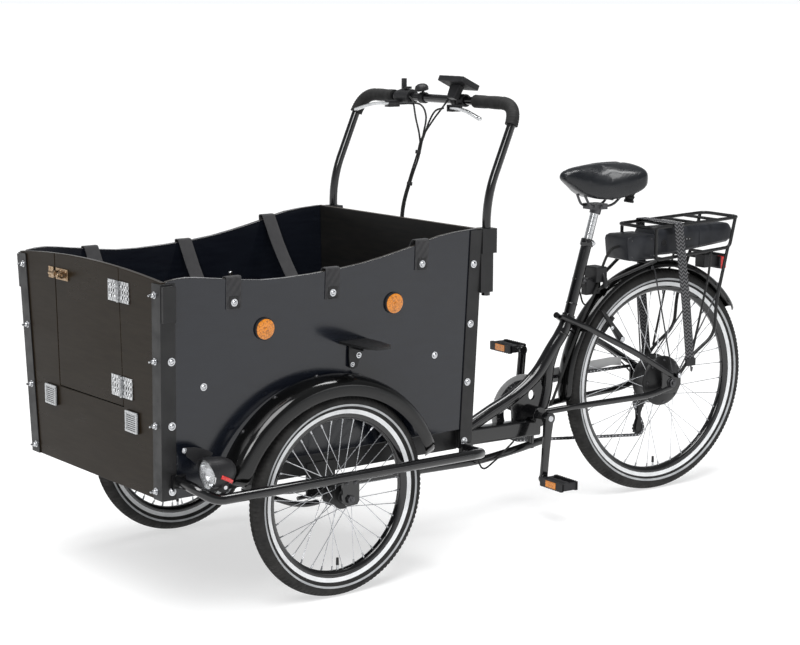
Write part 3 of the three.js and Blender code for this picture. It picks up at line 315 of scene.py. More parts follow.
LOOKS = {
    "side_ply": plywood("side_ply", (0.005, 0.006, 0.010), (0.008, 0.010, 0.015), (0.05, 0.045, 0.04), 0.5,
                        0.16),
    "front_ply": plywood("front_ply", (0.012, 0.008, 0.004), (0.017, 0.012, 0.007), (0.05, 0.045, 0.04),
                         0.08, 0.3),
    "inner_ply": plywood("inner_ply", (0.007, 0.007, 0.007), (0.012, 0.011, 0.010), (0.07, 0.06, 0.05), 0.2,
                         0.45),
    "paint": lacquer("black_paint", (0.003, 0.003, 0.0035), 0.14, coat=0.6),
    "satin": lacquer("satin_black", (0.007, 0.007, 0.0075), 0.4, coat=0.05),
    "fender": lacquer("fender_plastic", (0.002, 0.002, 0.002), 0.12, coat=0.15),
    "guard": lacquer("guard_plastic", (0.50, 0.50, 0.50), 0.3, coat=0.3),
    "plastic": moulded("black_plastic", (0.009, 0.009, 0.010), 0.45),
    "battery": moulded("battery_plastic", (0.012, 0.013, 0.016), 0.4, 900),
    "rubber": moulded("grip_rubber", (0.009, 0.009, 0.009), 0.7, 900),
    "tyre": rubber_tyre(),
    "band": reflective_band("reflective_band", (0.66, 0.67, 0.68), (0.80, 0.81, 0.82)),
    "line": reflective_band("reflective_line", (0.30, 0.31, 0.32), (0.45, 0.46, 0.47)),
    "steel": metal("bright_steel", (0.62, 0.63, 0.65), 0.25),
    "dark_steel": metal("dark_steel", (0.10, 0.10, 0.105), 0.4),
    "aluminium": metal("aluminium", (0.74, 0.75, 0.76), 0.25),
    "chrome": metal("chrome", (0.86, 0.87, 0.88), 0.06),
    "brass": metal("brass", (0.46, 0.33, 0.21), 0.38),
    "zinc": zinc(),
    "webbing": webbing(),
    "zigzag": zigzag_webbing(),
    "leather": leather(),
    "glass": clear_lens("lamp_lens", (0.95, 0.96, 0.97)),
    "amber": clear_lens("amber_lens", (0.62, 0.20, 0.008), 0.12, 260),
    "red": clear_lens("red_lens", (0.60, 0.015, 0.012), 0.12, 260),
    "white_reflector": clear_lens("white_reflector", (0.42, 0.43, 0.44), 0.15, 420),
    "screen": lacquer("display_screen", (0.010, 0.013, 0.016), 0.08, coat=1.0),
}


# ---------------------------------------------------------------- shape building
def spline(points, count):
    """A Catmull-Rom curve through the points."""
    points = [Vector(p) for p in points]
    out = []
    spans = len(points) - 1
    for step in range(count + 1):
        place_on = step * spans / count
        i = min(int(place_on), spans - 1)
        t = place_on - i
        a, b = points[i], points[i + 1]
        before = points[i - 1] if i else a * 2 - b
        after = points[i + 2] if i + 2 <= spans else b * 2 - a
        out.append(0.5 * (
            2 * a + (b - before) * t + (2 * before - 5 * a + 4 * b - after) * t * t
            + (3 * a - before - 3 * b + after) * t ** 3
        ))
    return out


def rounded(corners, radius, steps=10):
    """A polyline whose corners are rounded."""
    points = [Vector(c) for c in corners]
    out = [points[0]]
    for before, here, after in zip(points, points[1:], points[2:]):
        back, ahead = before - here, after - here
        reach = min(radius, back.length * 0.45, ahead.length * 0.45)
        start, end = here + back.normalized() * reach, here + ahead.normalized() * reach
        for step in range(steps + 1):
            t = step / steps
            out.append(start * (1 - t) ** 2 + here * (2 * t * (1 - t)) + end * t * t)
    out.append(points[-1])
    return out


def directions(points):
    """The direction of travel at each point of a path."""
    out = []
    for i in range(len(points)):
        before, after = points[max(i - 1, 0)], points[min(i + 1, len(points) - 1)]
        out.append((after - before).normalized())
    return out


def radial(angle):
    """The unit vector at an angle about the X axis, from +Y towards +Z."""
    return Vector((0, math.cos(angle), math.sin(angle)))


def circle(radius, sides=16):
    angles = [2 * math.pi * i / sides for i in range(sides)]
    return [(radius * math.cos(a), radius * math.sin(a)) for a in angles]


class Shape:
    """Faces gathered in millimetres, made into one object at the end."""

    def __init__(self):
        self.verts = []
        self.faces = []
        self.looks = []
        self.uvs = []

    def add(self, verts, faces, look=0):
        base = len(self.verts)
        self.verts += [Vector(v) for v in verts]
        self.faces += [[base + i for i in face] for face in faces]
        self.looks += look if isinstance(look, list) else [look] * len(faces)
        return self

    def rings(self, rings, look=0, loop=False, caps=True):
        """Skins a row of closed rings; look may be a list with one entry per point of a ring."""
        size, count = len(rings[0]), len(rings)
        faces, looks = [], []
        for r in range(count if loop else count - 1):
            for i in range(size):
                j, following = (i + 1) % size, (r + 1) % count
                faces.append([r * size + i, r * size + j, following * size + j, following * size + i])
                looks.append(look[i] if isinstance(look, list) else look)
        if caps and not loop:
            faces.append(list(range(size)))
            faces.append([(count - 1) * size + i for i in range(size)])
            looks += [look[0] if isinstance(look, list) else look] * 2
        return self.add([p for ring in rings for p in ring], faces, looks)

    def sweep(self, section, points, side=None, look=0, loop=False):
        """Carries a section along a path; with a side vector the section doesn't twist."""
        points = [Vector(p) for p in points]
        along = directions(points)
        across = Vector(side) if side else along[0].orthogonal().normalized()
        rings = []
        for i, (here, forward) in enumerate(zip(points, along)):
            if side:
                first = Vector(side)
            else:
                if i:
                    across = along[i - 1].rotation_difference(forward) @ across
                first = (across - forward * across.dot(forward)).normalized()
            second = forward.cross(first).normalized()
            rings.append([here + first * u + second * w for u, w in section])
        return self.rings(rings, look, loop)

    def tube(self, points, radius, sides=16, look=0):
        return self.sweep(circle(radius, sides), points, None, look)

    def rod(self, start, end, radius, end_radius=None, sides=16, look=0):
        start, end = Vector(start), Vector(end)
        far = radius if end_radius is None else end_radius
        return self.lathe([(radius, 0), (far, (end - start).length)], start, end - start, sides, look)

    def lathe(self, profile, centre, axis, segments=32, look=0, closed=False):
        """A solid of revolution from (radius, distance along the axis) pairs; look may be one per pair."""
        axis = Vector(axis).normalized()
        first = axis.orthogonal().normalized()
        second = axis.cross(first)
        if not closed:
            profile = [(0.01, profile[0][1])] + list(profile) + [(0.01, profile[-1][1])]
            if isinstance(look, list):
                look = [look[0]] + look + [look[-1]]
        rings = []
        for s in range(segments):
            a = 2 * math.pi * s / segments
            out = first * math.cos(a) + second * math.sin(a)
            rings.append([Vector(centre) + axis * d + out * r for r, d in profile])
        return self.rings(rings, look, loop=True)

    def block(self, low, high, look=0):
        (a, b, c), (d, e, f) = low, high
        corners = [(a, b, c), (d, b, c), (d, e, c), (a, e, c), (a, b, f), (d, b, f), (d, e, f), (a, e, f)]
        faces = [[0, 3, 2, 1], [4, 5, 6, 7], [0, 1, 5, 4], [1, 2, 6, 5], [2, 3, 7, 6], [3, 0, 4, 7]]
        return self.add(corners, faces, look)

    def plate(self, outline, plane, low, high, look=0):
        """An outline drawn in one plane ("yz", "xz" or "xy") and given thickness along the third axis."""
        orders = {
            "yz": lambda u, w, d: (d, u, w),
            "xz": lambda u, w, d: (u, d, w),
            "xy": lambda u, w, d: (u, w, d),
        }
        order = orders[plane]
        return self.rings([[order(u, w, d) for u, w in outline] for d in (low, high)], look)

    def bolt(self, at, direction, size=6.0, look=0):
        """A dome-head bolt on a washer."""
        s = size
        profile = [
            (s * 1.5, 0), (s * 1.5, s * 0.22), (s, s * 0.25), (s * 0.96, s * 0.45), (s * 0.7, s * 0.75),
            (s * 0.3, s * 0.9),
        ]
        return self.lathe(profile, at, direction, 14, look)

    def nut(self, at, direction, size=9.0, depth=8.0, look=0):
        return self.lathe([(size, 0), (size, depth * 0.85), (size * 0.85, depth)], at, direction, 6, look)

    def mirrored(self):
        other = Shape()
        other.verts = [Vector((-v.x, v.y, v.z)) for v in self.verts]
        other.faces = [list(reversed(face)) for face in self.faces]
        other.looks = list(self.looks)
        return other

    def make(self, name, body, looks, space, replaces=(), slot=None, bevel=0.0, smooth=38):
        """Turns the gathered faces into a finished piece on a body."""
        mesh = bpy.data.meshes.new(name)
        mesh.from_pydata([space @ v for v in self.verts], [], self.faces)
        if self.uvs:
            layer = mesh.uv_layers.new(name="weave")
            for loop in mesh.loops:
                layer.data[loop.index].uv = self.uvs[loop.vertex_index]
        return dress(mesh, name, body, looks, self.looks, replaces, bevel, smooth)


def dress(mesh, name, body, looks, indices, replaces=(), bevel=0.0, smooth=38, flat=False):
    """Gives a mesh its materials, shading and bevel, and lets it ride on a body.

    flat merges faces that lie in one plane."""
    for look in looks:
        mesh.materials.append(LOOKS[look])
    if indices:
        mesh.polygons.foreach_set("material_index", indices)
    bm = bmesh.new()
    bm.from_mesh(mesh)
    bmesh.ops.remove_doubles(bm, verts=bm.verts, dist=2e-5)
    bmesh.ops.dissolve_degenerate(bm, edges=bm.edges, dist=1e-6)
    if flat:
        bmesh.ops.dissolve_limit(bm, angle_limit=math.radians(0.5), verts=bm.verts, edges=bm.edges)
    bmesh.ops.recalc_face_normals(bm, faces=bm.faces)
    bm.to_mesh(mesh)
    bm.free()
    mesh.polygons.foreach_set("use_smooth", [True] * len(mesh.polygons))
    mesh.set_sharp_from_angle(angle=math.radians(smooth))
    obj = bpy.data.objects.new(name, mesh)
    bpy.context.scene.collection.objects.link(obj)
    if bevel:
        rounding = obj.modifiers.new("edges", "BEVEL")
        rounding.width = bevel / 1000
        rounding.segments = 2
        rounding.limit_method = "ANGLE"
        rounding.angle_limit = math.radians(35)
    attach(obj, body)
    if replaces:
        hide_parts(*replaces)
    return obj


def from_cad(name, body, look, bevel=1.0, smooth=35):
    """A CAD node whose shape is right, with its edges broken and a finished material."""
    source = frame["nodes"][name].data
    mesh = bpy.data.meshes.new(f"{name}_look")
    mesh.from_pydata([v.co.copy() for v in source.vertices], [],
                     [list(p.vertices) for p in source.polygons])
    return dress(mesh, f"{name}_look", body, [look], [], [name], bevel, smooth, flat=True)


# ---------------------------------------------------------------- wheels
CROWN = [0, 4, 8, 11, 14, 22, 31, 40, 50, 60, 70, 78, 86]


def tyre(name, body, centre, space, size):
    """A tyre with small tread blocks, a wide reflective band by the rim and a thin line outside it."""
    rim, half = size["rim"], size["width"] / 2
    middle, tall = (size["radius"] + rim + 3) / 2, (size["radius"] - rim - 3) / 2
    wide, thin_low, thin_high = size["bands"]
    beyond = [math.degrees(math.acos((r - middle) / tall)) for r in (thin_high, thin_low, wide)]
    crown = CROWN + beyond
    turns = [-a for a in reversed(crown[1:])] + crown
    looks = [0] * (len(turns) - 1)
    looks[1] = looks[-2] = 2
    looks += [1, 0, 0, 0, 1]
    steps = 3 * round(2 * math.pi * size["radius"] / 12.5)
    rings = []
    for s in range(steps):
        a = 2 * math.pi * s / steps
        out = radial(a)
        ring = []
        for turn in turns:
            t = math.radians(turn)
            block = (s + (1 if turn < 0 else 0)) % 3 == 0
            drop = 2.2 if abs(turn) in (8, 11) or (15 < abs(turn) < 61 and block) else 0.0
            drop = 1.6 if abs(turn) < 5 and block else drop
            radius = middle + (tall - drop) * math.cos(t)
            across = Vector((1, 0, 0)) * (half - drop * 0.4) * math.sin(t)
            ring.append(Vector(centre) + out * radius + across)
        for r, x in ((rim - 1, 14), (rim - 2, 9), (rim - 2, -9), (rim - 1, -14)):
            ring.append(Vector(centre) + out * r + Vector((x, 0, 0)))
        rings.append(ring)
    shape = Shape().rings(rings, looks, loop=True)
    return shape.make(f"tyre_{name}_look", body, ["tyre", "band", "line"], space, [f"tyre_{name}"], "tyre",
                      smooth=30)


def spokes(shape, centre, rim, flange, across, lead, look):
    """36 crossed spokes with nipples; lead is how far round the hub a spoke starts."""
    for i in range(36):
        a = 2 * math.pi * (i + 0.5) / 36
        h = a + (lead if i % 4 < 2 else -lead)
        x = across[i % 2]
        hub = Vector(centre) + Vector((x, flange * math.cos(h), flange * math.sin(h)))
        end = Vector(centre) + Vector((0, (rim - 14) * math.cos(a), (rim - 14) * math.sin(a)))
        shape.rod(hub, end, 1.0, sides=6, look=look)
        shape.rod(end - (end - hub).normalized() * 13, end, 2.1, 2.6, 8, look)


def wheel(name, body, centre, space, rim, hub, flange, across, lead):
    """Rim, spokes and hub; hub is a profile of (radius, x) pairs."""
    shape = Shape()
    rim_profile = [
        (rim, -13), (rim, -11), (rim - 9, -8), (rim - 9, 8), (rim, 11), (rim, 13), (rim - 5, 12.6),
        (rim - 12, 10.5),
        (rim - 16, 6), (rim - 16.5, 0), (rim - 16, -6), (rim - 12, -10.5), (rim - 5, -12.6),
    ]
    shape.lathe(rim_profile, centre, (1, 0, 0), 96, 0, closed=True)
    spokes(shape, centre, rim, flange, across, lead, 1)
    shape.lathe(hub, centre, (1, 0, 0), 48, 2)
    valve = Vector(centre) + Vector((0, 0, -rim + 16))
    shape.rod(valve, valve + Vector((0, 0, 26)), 3, 2.6, 10, 1)
    shape.rod(valve + Vector((0, 0, 12)), valve + Vector((0, 0, 30)), 4, 3.4, 10, 2)
    return shape.make(f"wheel_{name}_look", body, ["paint", "steel", "satin"], space, [f"wheel_{name}"],
                      "aluminium")


def front_wheel(side, word):
    centre = (side * FRONT_WHEEL["x"], 0, FRONT_WHEEL["radius"])
    body = f"front_wheel_{word}"
    tyre(f"front_{word}", body, centre, FRONT, FRONT_WHEEL)
    hub = [(11, -31), (15, -30), (17, -26), (30, -24), (30, -20), (19, -17), (16, -10), (16, 10), (19, 17),
           (30, 20), (30, 24), (17, 26), (15, 30), (11, 31)]
    wheel(f"front_{word}", body, centre, FRONT, FRONT_WHEEL["rim"], hub, 26, (22, -22), 1.15)


def rear_wheel():
    centre = (0, REAR_WHEEL["y"], REAR_WHEEL["radius"])
    tyre("rear", "rear_wheel", centre, REAR, REAR_WHEEL)
    hub = [(20, -28), (40, -27), (46, -24), (64, -22), (72, -18), (74, -14), (72, -10), (70, -6), (70, 22),
           (72, 26),
           (74, 30), (72, 34), (66, 38), (60, 40), (44, 46), (28, 50), (24, 52)]
    wheel("rear", "rear_wheel", centre, REAR, REAR_WHEEL["rim"], hub, 71, (30, -14), 0.42)
    cover = Shape()
    for i in range(8):
        a = 2 * math.pi * i / 8
        at = Vector(centre) + Vector((39.4, 62 * math.cos(a), 62 * math.sin(a)))
        cover.bolt(at, (1, 0, 0), 3.2)
    cover.make("motor_screws", "rear_wheel", ["dark_steel"], REAR, slot="dark_steel")


# ---------------------------------------------------------------- cargo box
def panels():
    for name in ("box_side_left", "box_side_right"):
        from_cad(name, "front_assembly", "side_ply", 1.2)
    from_cad("box_rear_panel", "front_assembly", "inner_ply", 1.2)
    from_cad("box_floor", "front_assembly", "inner_ply", 0.8)
    from_cad("box_front_panel", "front_assembly", "front_ply", 1.2)
    from_cad("front_door", "front_door", "front_ply", 1.5)
    for name in ("post_front_left", "post_front_right", "post_rear_left", "post_rear_right"):
        from_cad(name, "front_assembly", "satin", 0.8)


def panel_bolts():
    """Dome bolts through both legs of the corner angles, and the odd ones on the sides."""
    shape = Shape()
    for z in (776, 622, 470, 314):
        for s in (1, -1):
            stud = [(8.5, 0), (8.5, 1.4), (6, 1.6), (6, 7), (4.4, 9), (2.6, 9.6), (2.6, 16), (1.6, 17)]
            shape.lathe(stud, (s * (side_x(z) - 22), front_y(z) - 3.4, z), (0, -1, 0), 14)
            shape.bolt((s * (side_x(z) + 3.4), front_y(z) + 24, z), (s, 0, 0), 6.5)
            shape.bolt((s * (side_x(z) + 3.4), rear_y(z) - 22, z), (s, 0, 0), 6.5)
            shape.bolt((s * (side_x(z) - 22), rear_y(z) + 3.4, z), (0, 1, 0), 6.5)
    for s in (1, -1):
        for y, z in ((-349, 552), (332, 552)):
            shape.bolt((s * side_x(z), y, z), (s, 0, 0), 6)
        for y in (-190, 150):
            for z in (700, 664):
                shape.bolt((s * (side_x(z) - 12), y, z), (-s, 0, 0), 5)
    shape.make("panel_bolts", "front_assembly", ["steel"], FRONT, slot="galvanised")


def reflectors():
    """Round amber reflectors on the sides and square clear ones on the front."""
    amber, housing = Shape(), Shape()
    for s in (1, -1):
        for y, z in ((-185, 673), (195, 699)):
            at = (s * side_x(z), y, z)
            housing.lathe([(27, 0), (27, 5), (25, 6.5)], at, (s, 0, -0.05), 40)
            amber.lathe([(24.5, 5), (24.5, 8), (21, 9.5), (10, 10.2)], at, (s, 0, -0.05), 40)
            amber.lathe([(4.5, 9), (4.5, 11), (3, 12)], at, (s, 0, -0.05), 20)
    amber.make("side_reflectors", "front_assembly", ["amber"], FRONT, slot="lamp")
    housing.make("side_reflector_housings", "front_assembly", ["plastic"], FRONT, slot="plastic")
    clear, frames = Shape(), Shape()
    for x in (-203, 199):
        y = front_y(460)
        frames.block((x - 27, y - 5, 435), (x + 27, y - 0.2, 485))
        border = (
            ((-27, 435), (27, 440)), ((-27, 480), (27, 485)), ((-27, 440), (-22, 480)),
            ((22, 440), (27, 480)),
        )
        for low, high in border:
            clear.block((x + low[0], y - 8, low[1]), (x + high[0], y - 4, high[1]))
        for k in range(8):
            clear.block((x - 22, y - 6.5, 441 + 5 * k), (x + 22, y - 4, 444 + 5 * k))
    clear.make("front_reflectors", "front_assembly", ["white_reflector"], FRONT, slot="lamp", bevel=0.8)
    frames.make("front_reflector_frames", "front_assembly", ["plastic"], FRONT, slot="plastic", bevel=1)


def leaf(shape, x0, x1, z, y, pin_side):
    """One perforated hinge leaf, as strips that leave two rows of slots open."""
    half, depth = 25, 2.0
    for low, high in ((-half, -17), (-9, -4), (4, 9), (17, half)):
        shape.block((x0, y - depth, z + low), (x1, y, z + high))
    for k in range(5):
        at = x0 + (x1 - x0) * k / 4
        shape.block((max(x0, at - 3), y - depth, z - half), (min(x1, at + 3), y, z + half))
    for k in (0.25, 0.75):
        for dz in (-13, 13):
            shape.bolt((x0 + (x1 - x0) * k, y - depth, z + dz), (0, -1, 0), 3.2)
    shape.lathe([(4.2, -half), (4.2, half)], (pin_side, y - 4, z), (0, -0.0214, 1), 20)


def door_furniture():
    pin = DOOR_PIN
    for name, z in (("hinge_upper", 764), ("hinge_lower", 537)):
        y = front_y(z) - 0.6
        fixed = Shape()
        leaf(fixed, pin + 3, pin + 48, z, y, pin)
        fixed.make(f"{name}_leaf", "front_assembly", ["zinc"], FRONT, [name], "galvanised", bevel=0.4)
        moving = Shape()
        leaf(moving, pin - 49, pin - 5, z, y, pin)
        moving.make(f"{name}_door_leaf", "front_door", ["zinc"], FRONT, slot="galvanised", bevel=0.4)
    y = front_y(772)
    barrel = Shape().block((-152, y - 3, 758), (-92, y - 0.8, 786))
    for x in (-146, -118):
        barrel.lathe([(8.5, 0), (8.5, 12)], (x, y - 10.5, 772), (1, 0, 0), 24)
        barrel.block((x, y - 12, 764.5), (x + 12, y - 2, 779.5))
    for x in (-128, -100):
        barrel.bolt((x, y - 3, 780), (0, -1, 0), 2.6)
        barrel.bolt((x, y - 3, 764), (0, -1, 0), 2.6)
    barrel.make("latch_barrel_look", "front_door", ["brass"], FRONT, ["latch_barrel"], "brass", bevel=0.5)
    bolt = Shape().lathe([(2, 0), (4, 2.5), (4, 74), (4, 78)], (-174, y - 10.5, 772), (1, 0, 0), 20)
    bolt.lathe([(3, 0), (3, 9), (4.6, 11), (4.6, 15), (3, 16.5)], (-104, y - 10.5, 772), (0, -1, 0), 20)
    bolt.make("latch_bolt_look", "latch_bolt", ["brass"], FRONT, ["latch_bolt"], "brass", bevel=0.3)
    keeper = Shape().block((-190, y - 3, 758), (-165, y - 0.8, 786))
    for z in (764, 780):
        keeper.bolt((-183, y - 3, z), (0, -1, 0), 2.6)
    keeper.make("latch_keeper", "front_assembly", ["brass"], FRONT, slot="brass", bevel=0.5)


def box_straps():
    """Webbing folded over both side panels, with its bolted tabs outside and its sag inside."""
    for name, (y, edge) in STRAPS.items():
        off = 1.7
        outer, inner = side_x(edge) + off, side_x(edge) - 12 - off - 1
        over = edge + off + 2
        hang = [(inner * (1 - i / 24), y, over - 4 - STRAP_SAG * (1 - (1 - i / 24) ** 2))
                for i in range(49)]
        low = edge - 72
        left = rounded([(side_x(low) + off, y, low), (outer, y, over), (inner, y, over), hang[3]], 5, 4)
        right = [Vector((-p.x, p.y, p.z)) for p in reversed(left)]
        path = left + [Vector(p) for p in hang[4:45]] + right
        section = [(-20, -1.1), (-19, -1.3), (19, -1.3), (20, -1.1), (20, 1.1), (19, 1.3), (-19, 1.3),
                   (-20, 1.1)]
        strap = Shape().sweep(section, path, (0, 1, 0))
        strap.make(f"{name}_look", "front_assembly", ["webbing"], FRONT, [name], "webbing")
    bolts = Shape()
    tabs = Shape()
    for y, edge in STRAPS.values():
        z = edge - 57
        for s in (1, -1):
            bolts.bolt((s * (side_x(z) + 4.6), y, z), (s, 0, 0), 6)
            tabs.plate([(y - 13, z - 13), (y + 13, z - 13), (y + 13, z + 15), (y - 13, z + 15)], "yz",
                       s * (side_x(z) + 2.9), s * (side_x(z) + 4.7))
    bolts.make("strap_bolts", "front_assembly", ["steel"], FRONT, slot="galvanised")
    tabs.make("strap_tabs", "front_assembly", ["satin"], FRONT, slot="black_paint", bevel=0.8)


# ---------------------------------------------------------------- steered chassis
def chassis():
    from_cad("steering_frame", "front_assembly", "satin", 1.5)
    route = [(336, -418, 338), (402, -414, 332), (426, -374, 305), (426, 395, 304), (408, 432, 298),
             (342, 432, 296)]
    for s, word in SIDES:
        bar = Shape().tube(rounded(route, 42, 12), 12.5, 20)
        bar.block((329, -436, 322), (338, -402, 354))
        bar.block((329, 418, 280), (344, 446, 312))
        bar.plate([(-22, 304), (-20, 243), (-7, 233), (22, 234), (28, 243), (28, 304)], "yz", 423, 429)
        bar.rod((311, 0, 250), (428, 0, 250), 6, look=1)
        bar.nut((429, 0, 250), (1, 0, 0), 11, 8, 1)
        bar.rod((437, 0, 250), (439.5, 0, 250), 5, 4, 12, 1)
        bar.bolt((429, -10, 290), (1, 0, 0), 4, 1)
        bar.bolt((429, 16, 290), (1, 0, 0), 4, 1)
        bar.tube(rounded([(320, -143, 251), (320, -93, 230), (320, -53, 222), (320, -18, 223)], 30, 6), 7,
                 14)
        bar.rod((320, -78, 241), (320, -12, 244), 5, sides=12)
        if s < 0:
            bar = bar.mirrored()
        name = f"side_bar_{word}"
        bar.make(f"{name}_look", "front_assembly", ["paint", "dark_steel"], FRONT, [name], "black_paint")


def front_fenders():
    profile = [(-34, -1), (-24, 2), (-8, 3), (6, 1.5), (17, -1.5), (27, -7), (33, -15), (35.5, -27),
               (36.5, -42)]
    outer = spline(profile, 24)
    for s, word in SIDES:
        rings = []
        for i in range(65):
            t = i / 64
            a = math.radians(160 - 140 * t)
            tip = min(1.0, (min(t, 1 - t) * 64 + 0.6) / 4)
            ends = math.sqrt(1 - (1 - tip) ** 2)
            along = radial(a)
            base = Vector((371, -8, 215))
            skin = [(u * (0.35 + 0.65 * ends) - 9 * (1 - ends), r) for u, r in outer]
            ring = [base + along * (328 + r) + Vector((u, 0, 0)) for u, r in skin]
            ring += [base + along * (325.4 + r) + Vector((u * 0.965 - 0.6, 0, 0))
                     for u, r in reversed(skin)]
            rings.append(ring)
        shape = Shape().rings(rings)
        if s < 0:
            shape = shape.mirrored()
        shape.make(f"fender_front_{word}_look", "front_assembly", ["fender"], FRONT,
                   [f"fender_front_{word}"],
                   "gloss_plastic", smooth=60)
    bolts = Shape()
    for s in (1, -1):
        for degrees in (118, 96, 74, 138, 48):
            a = math.radians(degrees)
            out = radial(a)
            bolts.bolt(Vector((s * 352, -8, 215)) + out * 330.5, out, 4.5)
    bolts.make("fender_bolts", "front_assembly", ["dark_steel"], FRONT, slot="dark_steel")


def headlamp():
    """Round lamp: black shell with a visor, chromed reflector, domed lens and a red side strip."""
    centre = Vector((402, -350, 365))
    x, y, z = centre
    axis = (0, -1, 0)
    shell = Shape()
    outline = [(6, -38), (16, -35), (26, -26), (33, -12), (36, 4), (37, 22), (37.2, 31), (34.6, 31),
               (32, 10), (20, 2)]
    shell.lathe(outline + [(2, 0)], centre, axis, 56)
    rings = []
    for i in range(25):
        a = math.radians(195 * i / 24 - 7.5)
        reach = 30 + 15 * math.sin(math.pi * i / 24) ** 0.6
        out = Vector((math.cos(a), 0, math.sin(a)))
        section = ((36, 24), (37.8, 24), (37.8, reach), (36.4, reach))
        rings.append([centre + out * r - Vector((0, d, 0)) for r, d in section])
    shell.rings(rings)
    shell.block((x + 8, y - 9, 321), (x + 24, y + 9, z - 24))
    shell.rod((x + 9, y, 332), (x + 25, y, 332), 5, sides=20, look=1)
    leaf_plate = [(-414, 420), (-383, 417), (-352, 407), (-334, 396), (-344, 384), (-383, 379), (-405, 397)]
    shell.plate(leaf_plate, "yz", 347, 350)
    shell.bolt((350, -412, 413), (1, 0, 0), 4.5, 1)
    shell.make("headlamp_shell", "front_assembly", ["plastic", "steel"], FRONT, ["headlamp"], "plastic",
               bevel=0.6)
    rim = Shape().lathe([(33.2, 28), (35.4, 29), (35.4, 34), (33.2, 34)], centre, axis, 56, closed=True)
    bowl = [(33, 33), (31, 24), (25, 14), (15, 8), (5, 6), (5, 4), (17, 5), (28, 12), (33, 22)]
    rim.lathe(bowl, centre, axis, 48, closed=True)
    rim.lathe([(4, 6), (4, 18), (2, 22)], centre, axis, 20)
    rim.make("headlamp_rim", "front_assembly", ["chrome"], FRONT, slot="galvanised", smooth=50)
    dome = [(33.2, 32), (33.2, 34), (28, 37.5), (16, 40), (4, 41), (4, 39.4), (16, 38.4), (28, 36)]
    lens = Shape().lathe(dome, centre, axis, 48, closed=True)
    lens.make("headlamp_lens", "front_assembly", ["glass"], FRONT, slot="lamp", smooth=60)
    marker = Shape().sweep(rounded_section(5, 9, 2), [(438, -368, 362), (438, -350, 353), (430, -334, 344)],
                           (1, 0, 0))
    marker.make("headlamp_marker", "front_assembly", ["red"], FRONT, slot="lamp", bevel=1)


def side_step():
    """A leaf-shaped shelf on a thin leg, on the left side only."""
    z = 613
    wall = side_x(z) + 0.8
    outline = [(wall, 33), (wall + 60, 35), (wall + 108, 42), (wall + 128, 54), (wall + 132, 74),
               (wall + 128, 94),
               (wall + 108, 107), (wall + 60, 115), (wall, 117)]
    shape = Shape().plate(outline, "xy", z, z + 6)
    leg = [(60, z + 3), (100, z + 3), (98, z - 28), (84, z - 62), (72, z - 66), (62, z - 60), (60, z - 30)]
    shape.plate(leg, "yz", wall + 1, wall + 5)
    shape.block((wall + 3, 74, z - 16), (wall + 44, 77, z + 3))
    shape.bolt((wall + 5, 89, z - 33), (1, 0, 0), 5, 1)
    shape.bolt((wall + 5, 70, z - 54), (1, 0, 0), 4, 1)
    shape.make("side_step_look", "front_assembly", ["satin", "steel"], FRONT, ["side_step"], "black_paint",
               bevel=1.5)


# ---------------------------------------------------------------- handlebar and controls
BAR = [(335, 498, 690), (335, 498, 940), (335, 600, 1173)]
BAR_ROUTE = rounded(BAR + [(-x, y, z) for x, y, z in reversed(BAR)], 66, 14)


def handlebar():
    bar = Shape().tube(BAR_ROUTE, 11.2, 24)
    bar.make("handlebar_look", "front_assembly", ["paint"], FRONT, ["handlebar"], "black_paint", smooth=60)
    across = Vector((0, 1, 0))
    for (s, word), inboard in zip(SIDES, (165, 186)):
        path = [p for p in BAR_ROUTE if p.x > 200 and p.z > 1120]
        path += [Vector((200 - (200 - inboard) * i / 6, 600, 1173)) for i in range(7)]
        fine = spline(path, 70)
        rings = []
        for i, (here, forward) in enumerate(zip(fine, directions(fine))):
            first = (across - forward * across.dot(forward)).normalized()
            second = forward.cross(first)
            radius = 17.2 if i in (0, 1, 69, 70) or i % 3 else 16.3
            rings.append([here + first * u + second * w for u, w in circle(radius, 24)])
        shape = Shape().rings(rings)
        if s < 0:
            shape = shape.mirrored()
        name = f"grip_{word}"
        shape.make(f"{name}_look", "front_assembly", ["rubber"], FRONT, [name], "rubber", smooth=60)


def controls():
    for word in ("left", "right"):
        from_cad(f"brake_mount_{word}", "front_assembly", "plastic", 1.5)
        from_cad(f"brake_lever_{word}", f"brake_lever_{word}", "aluminium", 1.8)
    from_cad("shifter_lever", "shifter_lever", "plastic", 1.2)
    from_cad("display", "front_assembly", "plastic", 2.5)
    face = Matrix.Translation((108, 588, 1219)) @ Matrix.Rotation(math.radians(-25), 4, "X")
    stand = Shape().plate([(-20, -8), (-16, -46), (14, -46), (22, -8)], "xz", -10, 8)
    stand.make("display_stand", "front_assembly", ["plastic"], FRONT @ face, slot="plastic", bevel=2)
    screen = Shape().block((-44, -20, 7.3), (44, 24, 8.0))
    for x in (-24, 0, 24):
        screen.block((x - 8, -28, 7.0), (x + 8, -23, 8.6), 1)
    looks = ["screen", "rubber"]
    screen.make("display_screen_face", "front_assembly", looks, FRONT @ face, slot="plastic", bevel=0.8)
    dome = [(18, 0), (19, 2), (18.5, 8), (16, 13), (10, 17), (3, 18.5)]
    bell = Shape().lathe(dome, (-56, 594, 1193), (0, -0.2, 1), 32)
    bell.lathe([(15, -9), (15, 9)], (-56, 600, 1173), (1, 0, 0), 28)
    bell.rod((-56, 600, 1182), (-56, 595, 1198), 4, sides=12)
    bell.make("bell", "front_assembly", ["plastic"], FRONT, slot="plastic", bevel=0.6)
    cables()


def bundle_route(shift):
    """The leads' common way up behind the box."""
    trunk = [(0, 482, 352), (0, 484, 560), (0, 484, 780), (-2, 488, 880), (8, 505, 960), (24, 520, 1030)]
    return [Vector(p) + Vector((*shift, 0)) for p in trunk]


